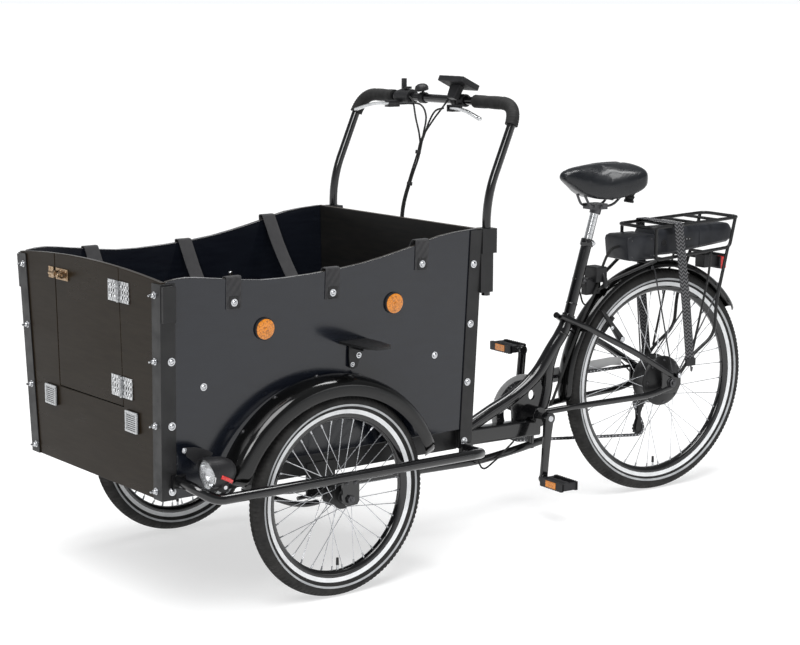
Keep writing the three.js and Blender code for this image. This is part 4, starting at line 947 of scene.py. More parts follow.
def cables():
    """Brake, gear and motor leads, tied together below the bar and led down behind the box."""
    leads = (
        ((-3.2, 0), [(34, 530, 1075), (46, 540, 1118), (74, 538, 1146), (98, 546, 1154)]),
        ((3.2, 1), [(34, 528, 1080), (36, 536, 1130), (4, 540, 1160), (-70, 542, 1158), (-141, 546, 1152)]),
        ((0, 4), [(24, 524, 1076), (2, 528, 1124), (-30, 545, 1160), (-70, 570, 1170), (-104, 588, 1174)]),
        ((0, -3.4), [(30, 526, 1070), (40, 556, 1118), (62, 574, 1156), (84, 590, 1194)]),
    )
    shape = Shape()
    for shift, lead in leads:
        shape.tube(spline(bundle_route(shift) + [Vector(p) for p in lead], 90), 2.5, 10)
    for z, y in ((700, 484), (800, 484), (945, 503), (1030, 520)):
        x = 0 if z < 900 else (z - 900) * 0.17
        shape.lathe([(7, 0), (7.6, 2), (7.6, 8), (7, 10)], (x, y, z), (0, 0.15 if z > 900 else 0, 1), 20, 1)
    looks = ["rubber", "plastic"]
    shape.make("control_cables_look", "front_assembly", looks, FRONT, ["control_cables"], "rubber",
               smooth=60)


# ---------------------------------------------------------------- rear frame
def seat_point(distance):
    """A point on the seat tube's axis."""
    return SEAT_TUBE[0] + SEAT_TUBE[1] * distance


def rounded_section(width, height, corner, steps=4):
    """A rectangle with round corners, as a section."""
    points = []
    for sx, sy, start in ((1, 1, 0), (-1, 1, 90), (-1, -1, 180), (1, -1, 270)):
        for k in range(steps + 1):
            a = math.radians(start + 90 * k / steps)
            x = sx * (width / 2 - corner) + corner * math.cos(a)
            y = sy * (height / 2 - corner) + corner * math.sin(a)
            points.append((x, y))
    return points


def flat_bar(shape, stations, across, corner):
    """A bar whose rounded section changes; stations are (centre, width along across, thickness)."""
    rings = []
    for here, width, thickness in stations:
        section = rounded_section(width, thickness, corner)
        rings.append([here + across * u + Vector((w, 0, 0)) for u, w in section])
    return shape.rings(rings)


def bead(shape, at, axis, radius, look=0):
    """A weld bead round a tube joint."""
    size = 2.4
    angles = [2 * math.pi * k / 8 for k in range(8)]
    profile = [(radius - 1 + size * math.cos(t), size * math.sin(t)) for t in angles]
    return shape.lathe(profile, at, axis, 40, look, closed=True)


def rear_frame():
    shape = Shape()
    main = [(0, 1036, 552), (0, 1016, 508), (0, 978, 460), (0, 921, 389), (0, 847, 339), (0, 761, 301),
            (0, 690, 268),
            (0, 640, 246)]
    branch = [(0, 1022, 522), (0, 992, 476), (0, 966, 411), (0, 958, 340), (0, 940, 284), (0, 915, 262)]
    shape.tube(spline(main, 56), 19, 32)
    shape.tube(spline(branch, 40), 17, 28)
    shape.rod(seat_point(-86), seat_point(TUBE_TOP), 15.5, sides=36)
    shape.lathe([(15.5, 0), (19, 1.5), (19, 20), (16, 21.5)], seat_point(TUBE_TOP - 22), SEAT_TUBE[1], 36)
    centre = Vector((0, CRANK["y"], CRANK["z"]))
    shape.rod(centre - Vector((34, 0, 0)), centre + Vector((34, 0, 0)), 24, sides=40)
    shape.sweep(rounded_section(40, 46, 6), [(0, 12, 241), (0, 300, 241), (0, 925, 241)], (1, 0, 0))
    head = [(27, 0), (29.5, 0.5), (29.5, 8), (27, 9), (27, 74), (29.5, 75), (29.5, 83.5), (27, 84)]
    shape.lathe(head, (0, 0, 180), (0, 0, 1), 40)
    truss = [(0, 12, 194), (0, 90, 168), (0, 720, 165), (0, 846, 180), (0, 952, 197)]
    shape.tube(rounded(truss, 60, 8), 11, 20)
    for y in (692, 905):
        shape.rod((0, y, 180), (0, y, 258), 10, sides=20)
    gusset(shape)
    axle = Vector((0, REAR_WHEEL["y"], REAR_WHEEL["radius"]))
    for s in (1, -1):
        low = [(s * 16, 932, 282), (s * 42, 1010, 292), (s * 66, 1290, 300), (s * 71, 1366, 318)]
        high = [(s * 12, 1000, 552), (s * 44, 1060, 522), (s * 64, 1238, 430), (s * 71, 1366, 352)]
        shape.tube(rounded(low, 50, 8), 9, 18)
        shape.tube(rounded(high, 50, 8), 9, 18)
        outline = [(1330, 300), (1372, 302), (1392, 308), (1402, 322), (1402, 338), (1391, 352),
                   (1372, 362), (1330, 374)]
        shape.plate(outline, "yz", s * 71 - 3, s * 71 + 3)
        shape.nut(axle + Vector((s * 74.5, 0, 0)), (s, 0, 0), 13, 9, 1)
        shape.lathe([(15, 0), (15, 1.4)], axle + Vector((s * 74, 0, 0)), (s, 0, 0), 24, 1)
    shape.rod(axle - Vector((88, 0, 0)), axle + Vector((88, 0, 0)), 6, sides=20, look=1)
    shape.block((-8, 1052, 636), (8, 1098, 656))
    shape.bolt((8, 1086, 646), (1, 0, 0), 5, 1)
    bead(shape, seat_point(-40), SEAT_TUBE[1], 16)
    bead(shape, (0, 1012, 500), (0, 24, 50), 19.4)
    looks = ["paint", "dark_steel"]
    shape.make("rear_frame_look", "rear_frame", looks, REAR, ["rear_frame"], "black_paint", bevel=0.8,
               smooth=40)
    frame_extras()


def gusset(shape):
    """The web between the two curved tubes, with a round window."""
    outline = [(839, 251), (835, 308), (844, 328), (875, 350), (926, 391), (953, 326), (960, 273),
               (955, 237)]
    y, z = middle = (904, 334)
    angles = [2 * math.pi * i / 32 for i in range(32)]
    rings = []
    for x in (-4, 4):
        ring = []
        for a in angles:
            direction = Vector((math.cos(a), math.sin(a)))
            hits = (ray_reach(direction, outline, k, middle) for k in range(len(outline)))
            reach = min(hit for hit in hits if hit)
            ring.append(Vector((x, y + direction.x * reach, z + direction.y * reach)))
        rings.append(ring)
    for x in (4, -4):
        rings.append([Vector((x, y + 11 * math.cos(a), z + 14 * math.sin(a))) for a in angles])
    shape.rings(rings, loop=True)


def ray_reach(direction, outline, k, start):
    """How far a ray runs from the start to side k of an outline, or None."""
    a, b = Vector(outline[k]) - Vector(start), Vector(outline[(k + 1) % len(outline)]) - Vector(start)
    side = b - a
    crossing = direction.x * side.y - direction.y * side.x
    if abs(crossing) < 1e-9:
        return None
    reach = (a.x * side.y - a.y * side.x) / crossing
    along = (a.x * direction.y - a.y * direction.x) / crossing
    return reach if reach > 0 and -1e-6 <= along <= 1 + 1e-6 else None


def frame_extras():
    """Ring lock, the leads along the frame and the loop that hangs under it."""
    lock = Shape()
    for s in (1, -1):
        angles = [math.pi * (k / 14 - 0.15) for k in range(10)]
        arc = [(s * 33 * math.cos(a), 1140, 640 + 34 * math.sin(a)) for a in angles]
        lock.tube(arc, 7, 12)
    lock.block((-28, 1112, 640), (28, 1152, 684))
    lock.block((-12, 1088, 604), (12, 1142, 650))
    lock.make("ring_lock", "rear_frame", ["plastic"], REAR, slot="plastic", bevel=3)
    leads = Shape()
    battery_lead = [(10, 1212, 738), (8, 1180, 728), (10, 1152, 690), (18, 1120, 620), (22, 1060, 520),
                    (20, 960, 300)]
    leads.tube(spline(battery_lead, 50), 4, 10)
    loop = [(22, 640, 232), (24, 690, 200), (22, 720, 150), (18, 760, 160), (20, 830, 212)]
    leads.tube(spline(loop, 40), 2.6, 10)
    gear_lead = [(-24, 1020, 520), (-40, 1100, 484), (-74, 1240, 420), (-80, 1330, 350), (-74, 1362, 300)]
    leads.tube(spline(gear_lead, 40), 2.4, 10)
    leads.make("frame_leads", "rear_frame", ["rubber"], REAR, slot="rubber", smooth=60)


def rear_fender():
    """Deep gloss mudguard with two wire stays on each side."""
    outer = spline([(-30, -12), (-27, -5), (-20, 1), (-10, 5), (0, 6), (10, 5), (20, 1), (27, -5),
                    (30, -12)], 24)
    rings = []
    for i in range(73):
        t = i / 72
        a = math.radians(184 - 151 * t)
        tip = min(1.0, (min(t, 1 - t) * 72 + 0.5) / 4)
        narrow = 0.45 + 0.55 * math.sqrt(1 - (1 - tip) ** 2)
        along = radial(a)
        base = Vector((0, REAR_WHEEL["y"], REAR_WHEEL["radius"]))
        ring = [base + along * (350 + r) + Vector((u * narrow, 0, 0)) for u, r in outer]
        ring += [base + along * (348.2 + r) + Vector((u * narrow * 0.95, 0, 0)) for u, r in reversed(outer)]
        rings.append(ring)
    shape = Shape().rings(rings)
    for s in (1, -1):
        for degrees, foot in ((52, (1386, 346)), (98, (1372, 356))):
            a = math.radians(degrees)
            top = Vector((s * 30, REAR_WHEEL["y"] + 342 * math.cos(a),
                          REAR_WHEEL["radius"] + 342 * math.sin(a)))
            shape.tube([top, top + Vector((s * 12, 0, -6)), (s * 70, *foot)], 2.2, 10, 1)
            shape.bolt(top + Vector((s * 1, 0, 0)), (s, 0, 0), 4, 1)
    shape.make("fender_rear_look", "rear_frame", ["fender", "dark_steel"], REAR, ["fender_rear"],
               "gloss_plastic", smooth=60)


def seat_clamp():
    centre = seat_point(TUBE_TOP - 11)
    boss = [(5, 0), (6.5, 1), (6.5, 8.5), (5, 10)]
    shape = Shape().lathe(boss, centre + Vector((21.5, 0, 0)), (1, 0, 0), 24, 1)
    blade = [(4, -5), (4, 5), (-8, 6), (-26, 5), (-40, 7), (-44, 3), (-44, -2), (-38, -5), (-24, -4),
             (-8, -6)]
    y, z = centre.y, centre.z
    shape.plate([(y + a, z + b) for a, b in blade], "yz", 24, 29)
    name = "seat_clamp_lever"
    shape.make(f"{name}_look", name, ["paint", "steel"], REAR, [name], "black_paint", bevel=1.4)


def seat_post():
    shape = Shape().rod(seat_point(12), seat_point(POST_TOP), 12.2, sides=40)
    for k in range(5):
        shape.lathe([(12.3, 0), (12.3, 0.6)], seat_point(TUBE_TOP + 14 + 12 * k), SEAT_TUBE[1], 40, 1)
    shape.make("seat_post_look", "seat", ["aluminium", "dark_steel"], REAR, ["seat_post"], "aluminium",
               smooth=50)


# Sections from nose to tail: y, half width, top, lower edge, hollow under the middle.
SADDLE = [
    (1000, 12, 950, 936, 0), (1010, 22, 962, 928, 0), (1034, 30, 971, 908, 3), (1060, 38, 976, 887, 6),
    (1092, 50, 978, 871, 10), (1125, 66, 978, 864, 14), (1160, 86, 978, 866, 16), (1200, 102, 978, 879, 14),
    (1230, 103, 977, 896, 8), (1250, 82, 970, 914, 3), (1258, 55, 962, 928, 0),
]


def saddle_shell(inset):
    """The saddle's padded body: full over the top, drooping at the sides and hollow below."""
    curves = [spline([(i, row[k], 0) for i, row in enumerate(SADDLE)], 60) for k in range(5)]
    rings = []
    for step in range(61):
        y, half, top, bottom, hollow = (curve[step].y for curve in curves)
        half, top, bottom = half - inset, top - inset, bottom + inset
        ring = []
        for i in range(48):
            a = 2 * math.pi * i / 48
            x = half * math.copysign(abs(math.cos(a)) ** 0.75, math.cos(a))
            power = 0.45 if math.sin(a) < 0 else 0.75
            rise = math.copysign(abs(math.sin(a)) ** power, math.sin(a))
            z = (top + bottom) / 2 + rise * (top - bottom) / 2
            if math.sin(a) < -0.1:
                z += max(hollow, 0) * (1 - abs(math.cos(a)) ** 1.2)
            elif math.sin(a) > 0:
                z -= 5 * math.exp(-(x / 13) ** 2) * min(1, max(0, (y - 1040) / 40))
            ring.append(Vector((x, y, z)))
        rings.append(ring)
    return Shape().rings(rings)


def puff(cover, most):
    """Inflates the cover with a short cloth simulation; no point moves further than most (metres)."""
    scene = bpy.context.scene
    work = cover.copy()
    work.data = cover.data.copy()
    work.name = "cover_simulation"
    scene.collection.objects.link(work)
    work.modifiers.clear()
    remesh = work.modifiers.new("remesh", "REMESH")
    remesh.mode = "VOXEL"
    remesh.voxel_size = CLOTH["voxel"]
    mesh = bpy.data.meshes.new_from_object(work.evaluated_get(bpy.context.evaluated_depsgraph_get()))
    work.modifiers.clear()
    work.data = mesh
    rest = [v.co.copy() for v in mesh.vertices]
    cloth = work.modifiers.new("cloth", "CLOTH")
    cloth.settings.use_pressure = True
    cloth.settings.uniform_pressure_force = CLOTH["pressure"]
    cloth.settings.effector_weights.gravity = 0
    for number in range(1, CLOTH["steps"] + 1):
        scene.frame_set(number)
    puffed = work.evaluated_get(bpy.context.evaluated_depsgraph_get()).to_mesh()
    moved = [v.co.copy() for v in puffed.vertices]
    scene.frame_set(1)
    for vertex, before, after in zip(mesh.vertices, rest, moved):
        step = after - before
        vertex.co = before + step * min(1, most / max(step.length, 1e-9))
    bpy.data.objects.remove(work)
    return mesh


def saddle():
    """A wide padded saddle on steel rails, with two rubber blocks under the tail."""
    inset = COVER_INSET
    cover = saddle_shell(inset).make("saddle_cover", "seat", ["leather"], REAR, ["saddle"], "saddle_cover",
                                     smooth=180)
    if inset:
        mesh = puff(cover, COVER_SWELL)
        mesh.materials.clear()
        mesh.materials.append(LOOKS["leather"])
        mesh.polygons.foreach_set("use_smooth", [True] * len(mesh.polygons))
        cover.data = mesh
        smoothing = cover.modifiers.new("smooth", "SUBSURF")
        smoothing.levels = smoothing.render_levels = 1
    under = Shape()
    for s in (1, -1):
        rail = [(s * 14, 1056, 922), (s * 20, 1090, 858), (s * 22, 1170, 858), (s * 34, 1220, 906)]
        under.tube(rounded(rail, 18, 8), 3.6, 14, 1)
        springs = [(13, -14), (15, -10), (12, -4), (15, 2), (12, 8), (15, 13), (13, 16)]
        under.lathe(springs, (s * 44, 1214, 880), (0, 0.2, 1), 28)
    _, y, z = seat_point(POST_TOP)
    under.block((-26, y - 24, z + 4), (26, y + 24, z + 20), 1)
    under.lathe([(15, -6), (16, -4), (16, 10)], (0, y, z - 4), SEAT_TUBE[1], 28, 1)
    under.bolt((26, y, z + 12), (1, 0, 0), 5, 1)
    looks = ["rubber", "dark_steel"]
    under.make("saddle_underside", "seat", looks, REAR, slot="dark_steel", bevel=1.2)


# ---------------------------------------------------------------- drive train
def crank_end(side):
    a = CRANK_ANGLE if side > 0 else CRANK_ANGLE + math.pi
    return CRANK["y"] + CRANK["length"] * math.cos(a), CRANK["z"] + CRANK["length"] * math.sin(a)


def crank_arm(shape, side):
    y, z = crank_end(side)
    start, end = Vector((side * 72, CRANK["y"], CRANK["z"])), Vector((side * 81, y, z))
    across = (end - start).cross(Vector((1, 0, 0))).normalized()
    taper = ((0, 30, 16), (0.08, 29, 16), (0.25, 26, 14), (0.6, 24, 12.8), (0.9, 24, 12), (1, 25, 12))
    flat_bar(shape, [(start.lerp(end, t), width, thickness) for t, width, thickness in taper], across, 4)
    inboard = 60 if side > 0 else 58
    boss = [(15, inboard), (16.5, inboard + 1), (16.5, 81), (14, 82)]
    shape.lathe(boss, (0, CRANK["y"], CRANK["z"]), (side, 0, 0), 32)
    shape.lathe([(8, 82), (8, 83.5), (5, 84)], (0, CRANK["y"], CRANK["z"]), (side, 0, 0), 20, 1)
    shape.lathe([(12, 74), (13, 75), (13, 86), (12, 87)], (0, y, z), (side, 0, 0), 28)
    shape.lathe([(5, 87), (5, 87.4)], (0, y, z), (side, 0, 0), 20, 1)
    return shape


def toothed(shape, centre, inner, root, tip, teeth, low, high, look=0):
    """A toothed ring about the X axis."""
    rings = []
    for k in range(teeth * 6):
        a = 2 * math.pi * k / (teeth * 6)
        outer = (root, root, (root + tip) / 2, tip, tip, (root + tip) / 2)[k % 6]
        out = radial(a)
        corners = ((inner, low), (outer, low), (outer, high), (inner, high))
        rings.append([Vector((x, centre[0], centre[1])) + out * r for r, x in corners])
    return shape.rings(rings, look, loop=True)


def cranks():
    left = crank_arm(Shape(), 1)
    left.make("crank_left_look", "crankset", ["paint", "steel"], REAR, ["crank_left"], "black_paint",
              bevel=0.5)
    right = crank_arm(Shape(), -1)
    x, y, z = CRANK["chain_x"], CRANK["y"], CRANK["z"]
    toothed(right, (y, z), 68, 81, 87, 42, x - 1.6, x + 1.6, 1)
    right.rod((-59.5, y, z), (59.5, y, z), 9.5, sides=24, look=1)
    for i in range(5):
        a = 2 * math.pi * i / 5 + 0.3
        out = radial(a)
        across = Vector((0, -math.sin(a), math.cos(a)))
        taper = ((12, 26), (30, 18), (55, 16), (72, 18))
        flat_bar(right, [(Vector((x - 3, y, z)) + out * r, width, 5) for r, width in taper], across, 1.5)
        right.bolt(Vector((x - 5.4, y, z)) + out * 67, (-1, 0, 0), 4, 1)
    right.lathe([(20, 0), (20, 12)], (x - 10, y, z), (1, 0, 0), 32)
    right.make("crank_right_look", "crankset", ["paint", "dark_steel"], REAR, ["crank_right"],
               "black_paint", bevel=0.4)
    for side, word in SIDES:
        pedal(side, word)


def pedal(side, word):
    """Platform pedal: a cage with grip teeth and amber reflectors front and back."""
    y, z = crank_end(side)
    x0 = 102
    body = Shape()
    for dy in (-25, 25):
        body.block((x0, y + dy - 4, z - 12), (x0 + 96, y + dy + 4, z + 12))
        for k in range(9):
            body.block((x0 + 6 + k * 10, y + dy - 3.6, z + 9), (x0 + 10 + k * 10, y + dy + 3.6, z + 13))
            body.block((x0 + 6 + k * 10, y + dy - 3.6, z - 13), (x0 + 10 + k * 10, y + dy + 3.6, z - 9))
    for dx in (0, 88):
        body.block((x0 + dx, y - 25, z - 10), (x0 + dx + 8, y + 25, z + 10))
    body.rod((x0 + 4, y, z), (x0 + 92, y, z), 11, sides=24)
    for dx in (28, 56):
        body.block((x0 + dx, y - 23, z - 6), (x0 + dx + 8, y + 23, z + 6))
    body.rod((88.4, y, z), (x0 + 6, y, z), 6.5, sides=16, look=1)
    lens = Shape()
    for s in (1, -1):
        lens.block((x0 + 26, y + s * 29 - 1.2, z - 9), (x0 + 70, y + s * 29 + 1.2, z + 9))
    if side < 0:
        body, lens = body.mirrored(), lens.mirrored()
    body.make(f"pedal_{word}_look", f"pedal_{word}", ["plastic", "steel"], REAR, [f"pedal_{word}"],
              "plastic", bevel=0.7)
    lens.make(f"pedal_{word}_reflectors", f"pedal_{word}", ["amber"], REAR, slot="lamp", bevel=0.5)


CHAIN_WHEELS = [
    ((912, 278), 86, 1), ((1366, 330), 38, 1), ((1352, 252), 22, -1), ((1344, 176), 22, 1),
]


def run_angle(a, b):
    """The direction of the straight run of chain between two wheels."""
    (ay, az), ar, aturn = a
    (by, bz), br, bturn = b
    heading = math.atan2(bz - az, by - ay)
    return heading - math.asin((aturn * ar - bturn * br) / math.hypot(by - ay, bz - az))


def chain_route():
    """The chain's pins, in (y, z), evenly spaced along its whole loop."""
    points = []
    for i, wheel_at in enumerate(CHAIN_WHEELS):
        (y, z), r, turn = wheel_at
        start = run_angle(CHAIN_WHEELS[i - 1], wheel_at) + turn * math.pi / 2
        end = run_angle(wheel_at, CHAIN_WHEELS[(i + 1) % 4]) + turn * math.pi / 2
        while turn * (start - end) < 0:
            end -= turn * 2 * math.pi
        while turn * (start - end) > 2 * math.pi:
            end += turn * 2 * math.pi
        for k in range(41):
            a = start + (end - start) * k / 40
            points.append(Vector((y + r * math.cos(a), z + r * math.sin(a))))
    points.append(points[0])
    lengths = [0.0]
    for a, b in zip(points, points[1:]):
        lengths.append(lengths[-1] + (b - a).length)
    count = round(lengths[-1] / CHAIN_PITCH / 2) * 2
    pins, i = [], 0
    for k in range(count):
        target = lengths[-1] * k / count
        while lengths[i + 1] < target:
            i += 1
        span = lengths[i + 1] - lengths[i]
        pins.append(points[i].lerp(points[i + 1], (target - lengths[i]) / span if span else 0))
    return pins


def chain():
    shape = Shape()
    pins = chain_route()
    x = CRANK["chain_x"]
    for k, here in enumerate(pins):
        following = pins[(k + 1) % len(pins)]
        along = (following - here).normalized()
        across = Vector((-along.y, along.x))
        outline = []
        for end, sign in ((following, 1), (here, -1)):
            for degrees in (-80, -40, 0, 40, 80):
                a = math.radians(degrees)
                reach = sign * PLATE_RADIUS
                outline.append(end + along * (reach * math.cos(a)) + across * (reach * math.sin(a)))
        low, high = (1.5, 2.3) if k % 2 else (2.5, 3.3)
        for s in (1, -1):
            shape.plate(outline, "yz", x + s * low, x + s * high)
        shape.rod((x - 3.6, *here), (x + 3.6, *here), 1.9, sides=8, look=1)
        shape.rod((x - 1.4, *here), (x + 1.4, *here), 3.8, sides=10, look=1)
    shape.make("chain_look", "rear_frame", ["dark_steel", "steel"], REAR, ["chain"], "dark_steel")


def cassette():
    shape = Shape()
    centre = (REAR_WHEEL["y"], REAR_WHEEL["radius"])
    for x, tip, teeth in ((-32, 46, 23), (-36, 44, 22), (-40, 42, 21), (-48, 39.5, 19), (-52, 32, 16),
                          (-56, 27, 13)):
        toothed(shape, centre, 14, tip - 5, tip, teeth, x - 0.9, x + 0.9)
    shape.lathe([(15, 0), (15, 26), (12, 27)], (-31, *centre), (-1, 0, 0), 32, 1)
    shape.make("cassette_look", "cassette", ["steel", "dark_steel"], REAR, ["cassette"], "dark_steel")


def derailleur():
    shape = Shape()
    x = CRANK["chain_x"]
    guide, tension = CHAIN_WHEELS[2][0], CHAIN_WHEELS[3][0]
    for wheel_at in (guide, tension):
        toothed(shape, wheel_at, 7, 17, 20.5, 11, x - 1.3, x + 1.3, 1)
        shape.rod((x - 8, *wheel_at), (x + 6, *wheel_at), 3.5, sides=14, look=2)
    (gy, gz), (ty, tz) = guide, tension
    cage = [(gy - 10, gz + 4), (gy - 6, gz + 10), (gy + 5, gz + 10), (gy + 11, gz + 3), (gy + 9, gz - 8),
            (gy, gz - 30),
            (ty + 8, tz + 22), (ty + 11, tz + 2), (ty + 6, tz - 9), (ty - 5, tz - 10), (ty - 11, tz - 2),
            (ty - 9, tz + 10), (ty - 2, tz + 28), (gy - 12, gz - 14)]
    for low, high in ((x - 8, x - 5.6), (x + 4.2, x + 6.2)):
        shape.plate(cage, "yz", low, high)
    shape.rod((x - 19, 1356, 282), (x - 6, 1354, 262), 11, 13, 24)
    shape.rod((x - 21, 1352, 268), (x - 15, 1352, 268), 5, sides=14, look=2)
    shape.rod((x - 22, 1364, 312), (x - 14, 1356, 280), 8, 10, 20)
    shape.rod((-74, 1374, 312), (-60, 1366, 312), 9, sides=20)
    shape.make("derailleur_look", "rear_frame", ["satin", "plastic", "steel"], REAR, ["derailleur"],
               "dark_steel", bevel=0.8)


def chain_guard():
    """Light plastic guard: an arc round the chainring and a bar back along the chain."""
    def arc(radius, start, end, steps=40):
        for i in range(steps + 1):
            a = math.radians(start + (end - start) * i / steps)
            yield (CRANK["y"] + radius * math.cos(a), CRANK["z"] + radius * math.sin(a))
    outer = list(arc(104, 200, 70)) + [(1031, 389), (1130, 394), (1241, 399), (1282, 395)]
    inner = list(arc(80, 200, 60)) + [(1032, 346), (1130, 360), (1242, 375), (1282, 371)]
    shape = Shape()
    rings = []
    for (oy, oz), (iy, iz) in zip(outer, inner):
        out, back = Vector((0, oy, oz)), Vector((0, iy, iz))
        mid = (out + back) / 2
        rings.append([out + Vector((-55, 0, 0)), mid + Vector((-55.4, 0, 0)), back + Vector((-55, 0, 0)),
                      back + Vector((-57, 0, 0)), mid + Vector((-58.2, 0, 0)), out + Vector((-57, 0, 0))])
    shape.rings(rings)
    shape.bolt((-58, 1040, 370), (-1, 0, 0), 4, 1)
    shape.bolt((-58, CRANK["y"] - 90, CRANK["z"] + 20), (-1, 0, 0), 4, 1)
    shape.make("chain_guard_look", "rear_frame", ["guard", "steel"], REAR, ["chain_guard"], "guard",
               smooth=50)


def rear_brake():
    """Linear-pull arms with their pads, joined across the top by a cable and its bent pipe."""
    angle = math.radians(137.2)
    y, z = REAR_WHEEL["y"] + 272 * math.cos(angle), REAR_WHEEL["radius"] + 272 * math.sin(angle)
    along = Vector((0, -math.sin(angle), math.cos(angle)))
    for s, word in SIDES:
        shape = Shape()
        foot, top = Vector((42, 1196, 472)), Vector((34, 1130, 560))
        lever_dir = (top - foot).normalized()
        side = lever_dir.cross(Vector((1, 0, 0))).normalized()
        taper = ((0, 18, 14), (0.15, 17, 14), (0.5, 14, 11), (0.9, 11, 9), (1, 10, 8))
        flat_bar(shape, [(foot.lerp(top, t), width, thickness) for t, width, thickness in taper], side, 3)
        shape.lathe([(8, 0), (8, 3), (5, 4)], foot + Vector((7, 0, 0)), (1, 0, 0), 20, 1)
        pad = [Vector((20, y, z)) + along * d for d in (-26, 0, 26)]
        shape.sweep(rounded_section(10, 10, 2), pad, (-1, 0, 0), 2)
        shape.rod((24, y, z), (42, y - 5, z - 7), 4, sides=14, look=1)
        shape.bolt((44, y - 5, z - 7), (1, 0, 0), 4, 1)
        if s < 0:
            shape = shape.mirrored()
        shape.make(f"brake_arm_{word}_look", f"brake_arm_{word}", ["satin", "steel", "rubber"], REAR,
                   [f"brake_arm_{word}"],
                   "dark_steel", bevel=0.5)
    cable = Shape()
    cable.tube(rounded([(-20, 1128, 562), (-44, 1122, 570), (-40, 1106, 610), (-12, 1078, 640)], 24, 8),
               2.6, 12)
    cable.rod((-28, 1130, 560), (30, 1130, 560), 1.0, sides=8, look=1)
    cable.make("rear_brake_cable", "rear_frame", ["rubber", "steel"], REAR, slot="rubber", smooth=60)


# ---------------------------------------------------------------- rack, battery and lights
def rack():
    w, front, rear, rod = RACK["half_width"], RACK["front"], RACK["rear"], RACK["rod"]
    front_leg, rear_leg = front + 12, rear - 36
    shape = Shape()
    corners = [(-w, front + 40), (-w, front), (w, front), (w, rear), (-w, rear), (-w, front + 40)]
    shape.tube(rounded([(x, y, rack_z(y)) for x, y in corners], 26, 8), rod, 16)
    for y in (1362, 1444, 1527):
        shape.rod((-w, y, rack_z(y)), (w, y, rack_z(y)), 4.4, sides=14)
    for s in (1, -1):
        x = s * w
        lower = [(x, front_leg, rack_z(front_leg) - 2), (x, front_leg, rack_low(front_leg))]
        lower += [(x, rear_leg, rack_low(rear_leg)), (x, rear - 16, rack_z(rear) - 2)]
        shape.tube(rounded(lower, 16, 8), rod, 16)
        strut = [(x, front_leg + 2, rack_low(front)), (s * 24, 1160, 640), (s * 15, 1128, 616)]
        shape.tube(rounded(strut, 30, 8), rod, 14)
        leg = [(x, rear_leg - 6, rack_low(rear_leg)), (s * 86, 1522, 560), (s * 88, 1516, 462),
               (s * 86, 1428, 405),
               (s * 80, 1388, 352)]
        shape.tube(rounded(leg, 34, 10), rod, 16)
        stay = [(x, 1506, rack_low(1506)), (s * 86, 1488, 640), (s * 86, 1432, 412)]
        shape.tube(rounded(stay, 20, 8), 3.5, 12)
        shape.lathe([(9, 0), (9, 5)], (s * 77, 1388, 352), (s, 0, 0), 20)
        shape.bolt((s * 84, 1388, 352), (s, 0, 0), 5, 1)
    for y, drop in ((front, 7), (1320, 1), (1444, 9)):
        shape.rod((-w, y, rack_low(y) - drop), (w, y, rack_low(y) - drop), 4.4, sides=14)
    shape.rod((-w - 1, 1563, 693), (w + 1, 1563, 693), 4.4, sides=14)
    shape.make("rack_look", "rear_frame", ["satin", "steel"], REAR, ["rack"], "black_paint", smooth=50)


def rack_z(y):
    """Height of the rack's top."""
    return 790 + 0.042 * (y - RACK["front"])


def rack_low(y):
    """Height of the rack's lower rails."""
    return 697 + 0.066 * (y - RACK["front"])


def battery():
    """Tapered pack with bevelled shoulders, a shut line, a lock and a charge gauge."""
    stations = [
        (1312, 709, 780, -4), (1314, 706.5, 783.5, -1), (1318, 706, 784, 0), (1370, 706, 784, 0),
        (1478, 716.5, 784, 0),
        (1479, 716.6, 784, -1.6), (1483, 717, 784, -1.6), (1484, 717, 784, 0), (1596, 728, 784, 0),
        (1606, 733, 783, -1),
        (1614, 741, 779, -3), (1619, 750, 772, -8), (1620, 756, 766, -12),
    ]
    rings = []
    for y, low, high, grow in stations:
        w = 48 + grow
        corner = min(8, (high - low) / 4)
        section = [(-w, low + corner), (-w + 3, low + 3), (-w + 8, low), (w - 8, low), (w - 3, low + 3),
                   (w, low + corner)]
        section += [(w, high - corner * 2.6), (w - 4, high - corner * 1.4), (w - 12, high - 1.5),
                    (w - 20, high)]
        section += [(-x, z) for x, z in reversed(section[6:])]
        rings.append([Vector((x, y, z)) for x, z in section])
    shape = Shape().rings(rings)
    for s in (1, -1):
        shape.lathe([(9, 0), (9, 2), (7.5, 3)], (s * 47.5, 1345, 742), (s, 0, 0), 28, 1)
        shape.block((s * 48.4 - 0.5, 1396, 724), (s * 48.4 + 0.5, 1460, 728), 1)
    shape.block((44, 1392, 742), (48.8, 1452, 752), 1)
    for k in range(5):
        shape.lathe([(1.6, 0), (1.6, 0.6)], (48.6, 1400 + 11 * k, 747), (1, 0, 0), 12, 2)
    looks = ["battery", "plastic", "white_reflector"]
    shape.make("battery_look", "battery", looks, REAR, ["battery"], "plastic", smooth=30)


def controller():
    """Sealed electronics box in front of the battery."""
    outline = [(1204, 756), (1210, 706), (1212, 700), (1219, 697), (1306, 697), (1308, 699), (1308, 767),
               (1306, 769),
               (1220, 769), (1208, 765)]
    rings = []
    for x, grow in ((-52, -4), (-50, -1), (-47, 0), (47, 0), (50, -1), (52, -4)):
        ring = [(1256 + (y - 1256) * (1 + grow / 52), 733 + (z - 733) * (1 + grow / 36))
                for y, z in outline]
        rings.append([Vector((x, y, z)) for y, z in ring])
    shape = Shape().rings(rings)
    for s in (1, -1):
        for y, z in ((1222, 756), (1222, 708), (1296, 756), (1296, 708)):
            shape.bolt((s * 50.4, y, z), (s, 0, 0), 3, 1)
    looks = ["battery", "dark_steel"]
    shape.make("controller_look", "rear_frame", looks, REAR, ["controller"], "plastic", smooth=40)


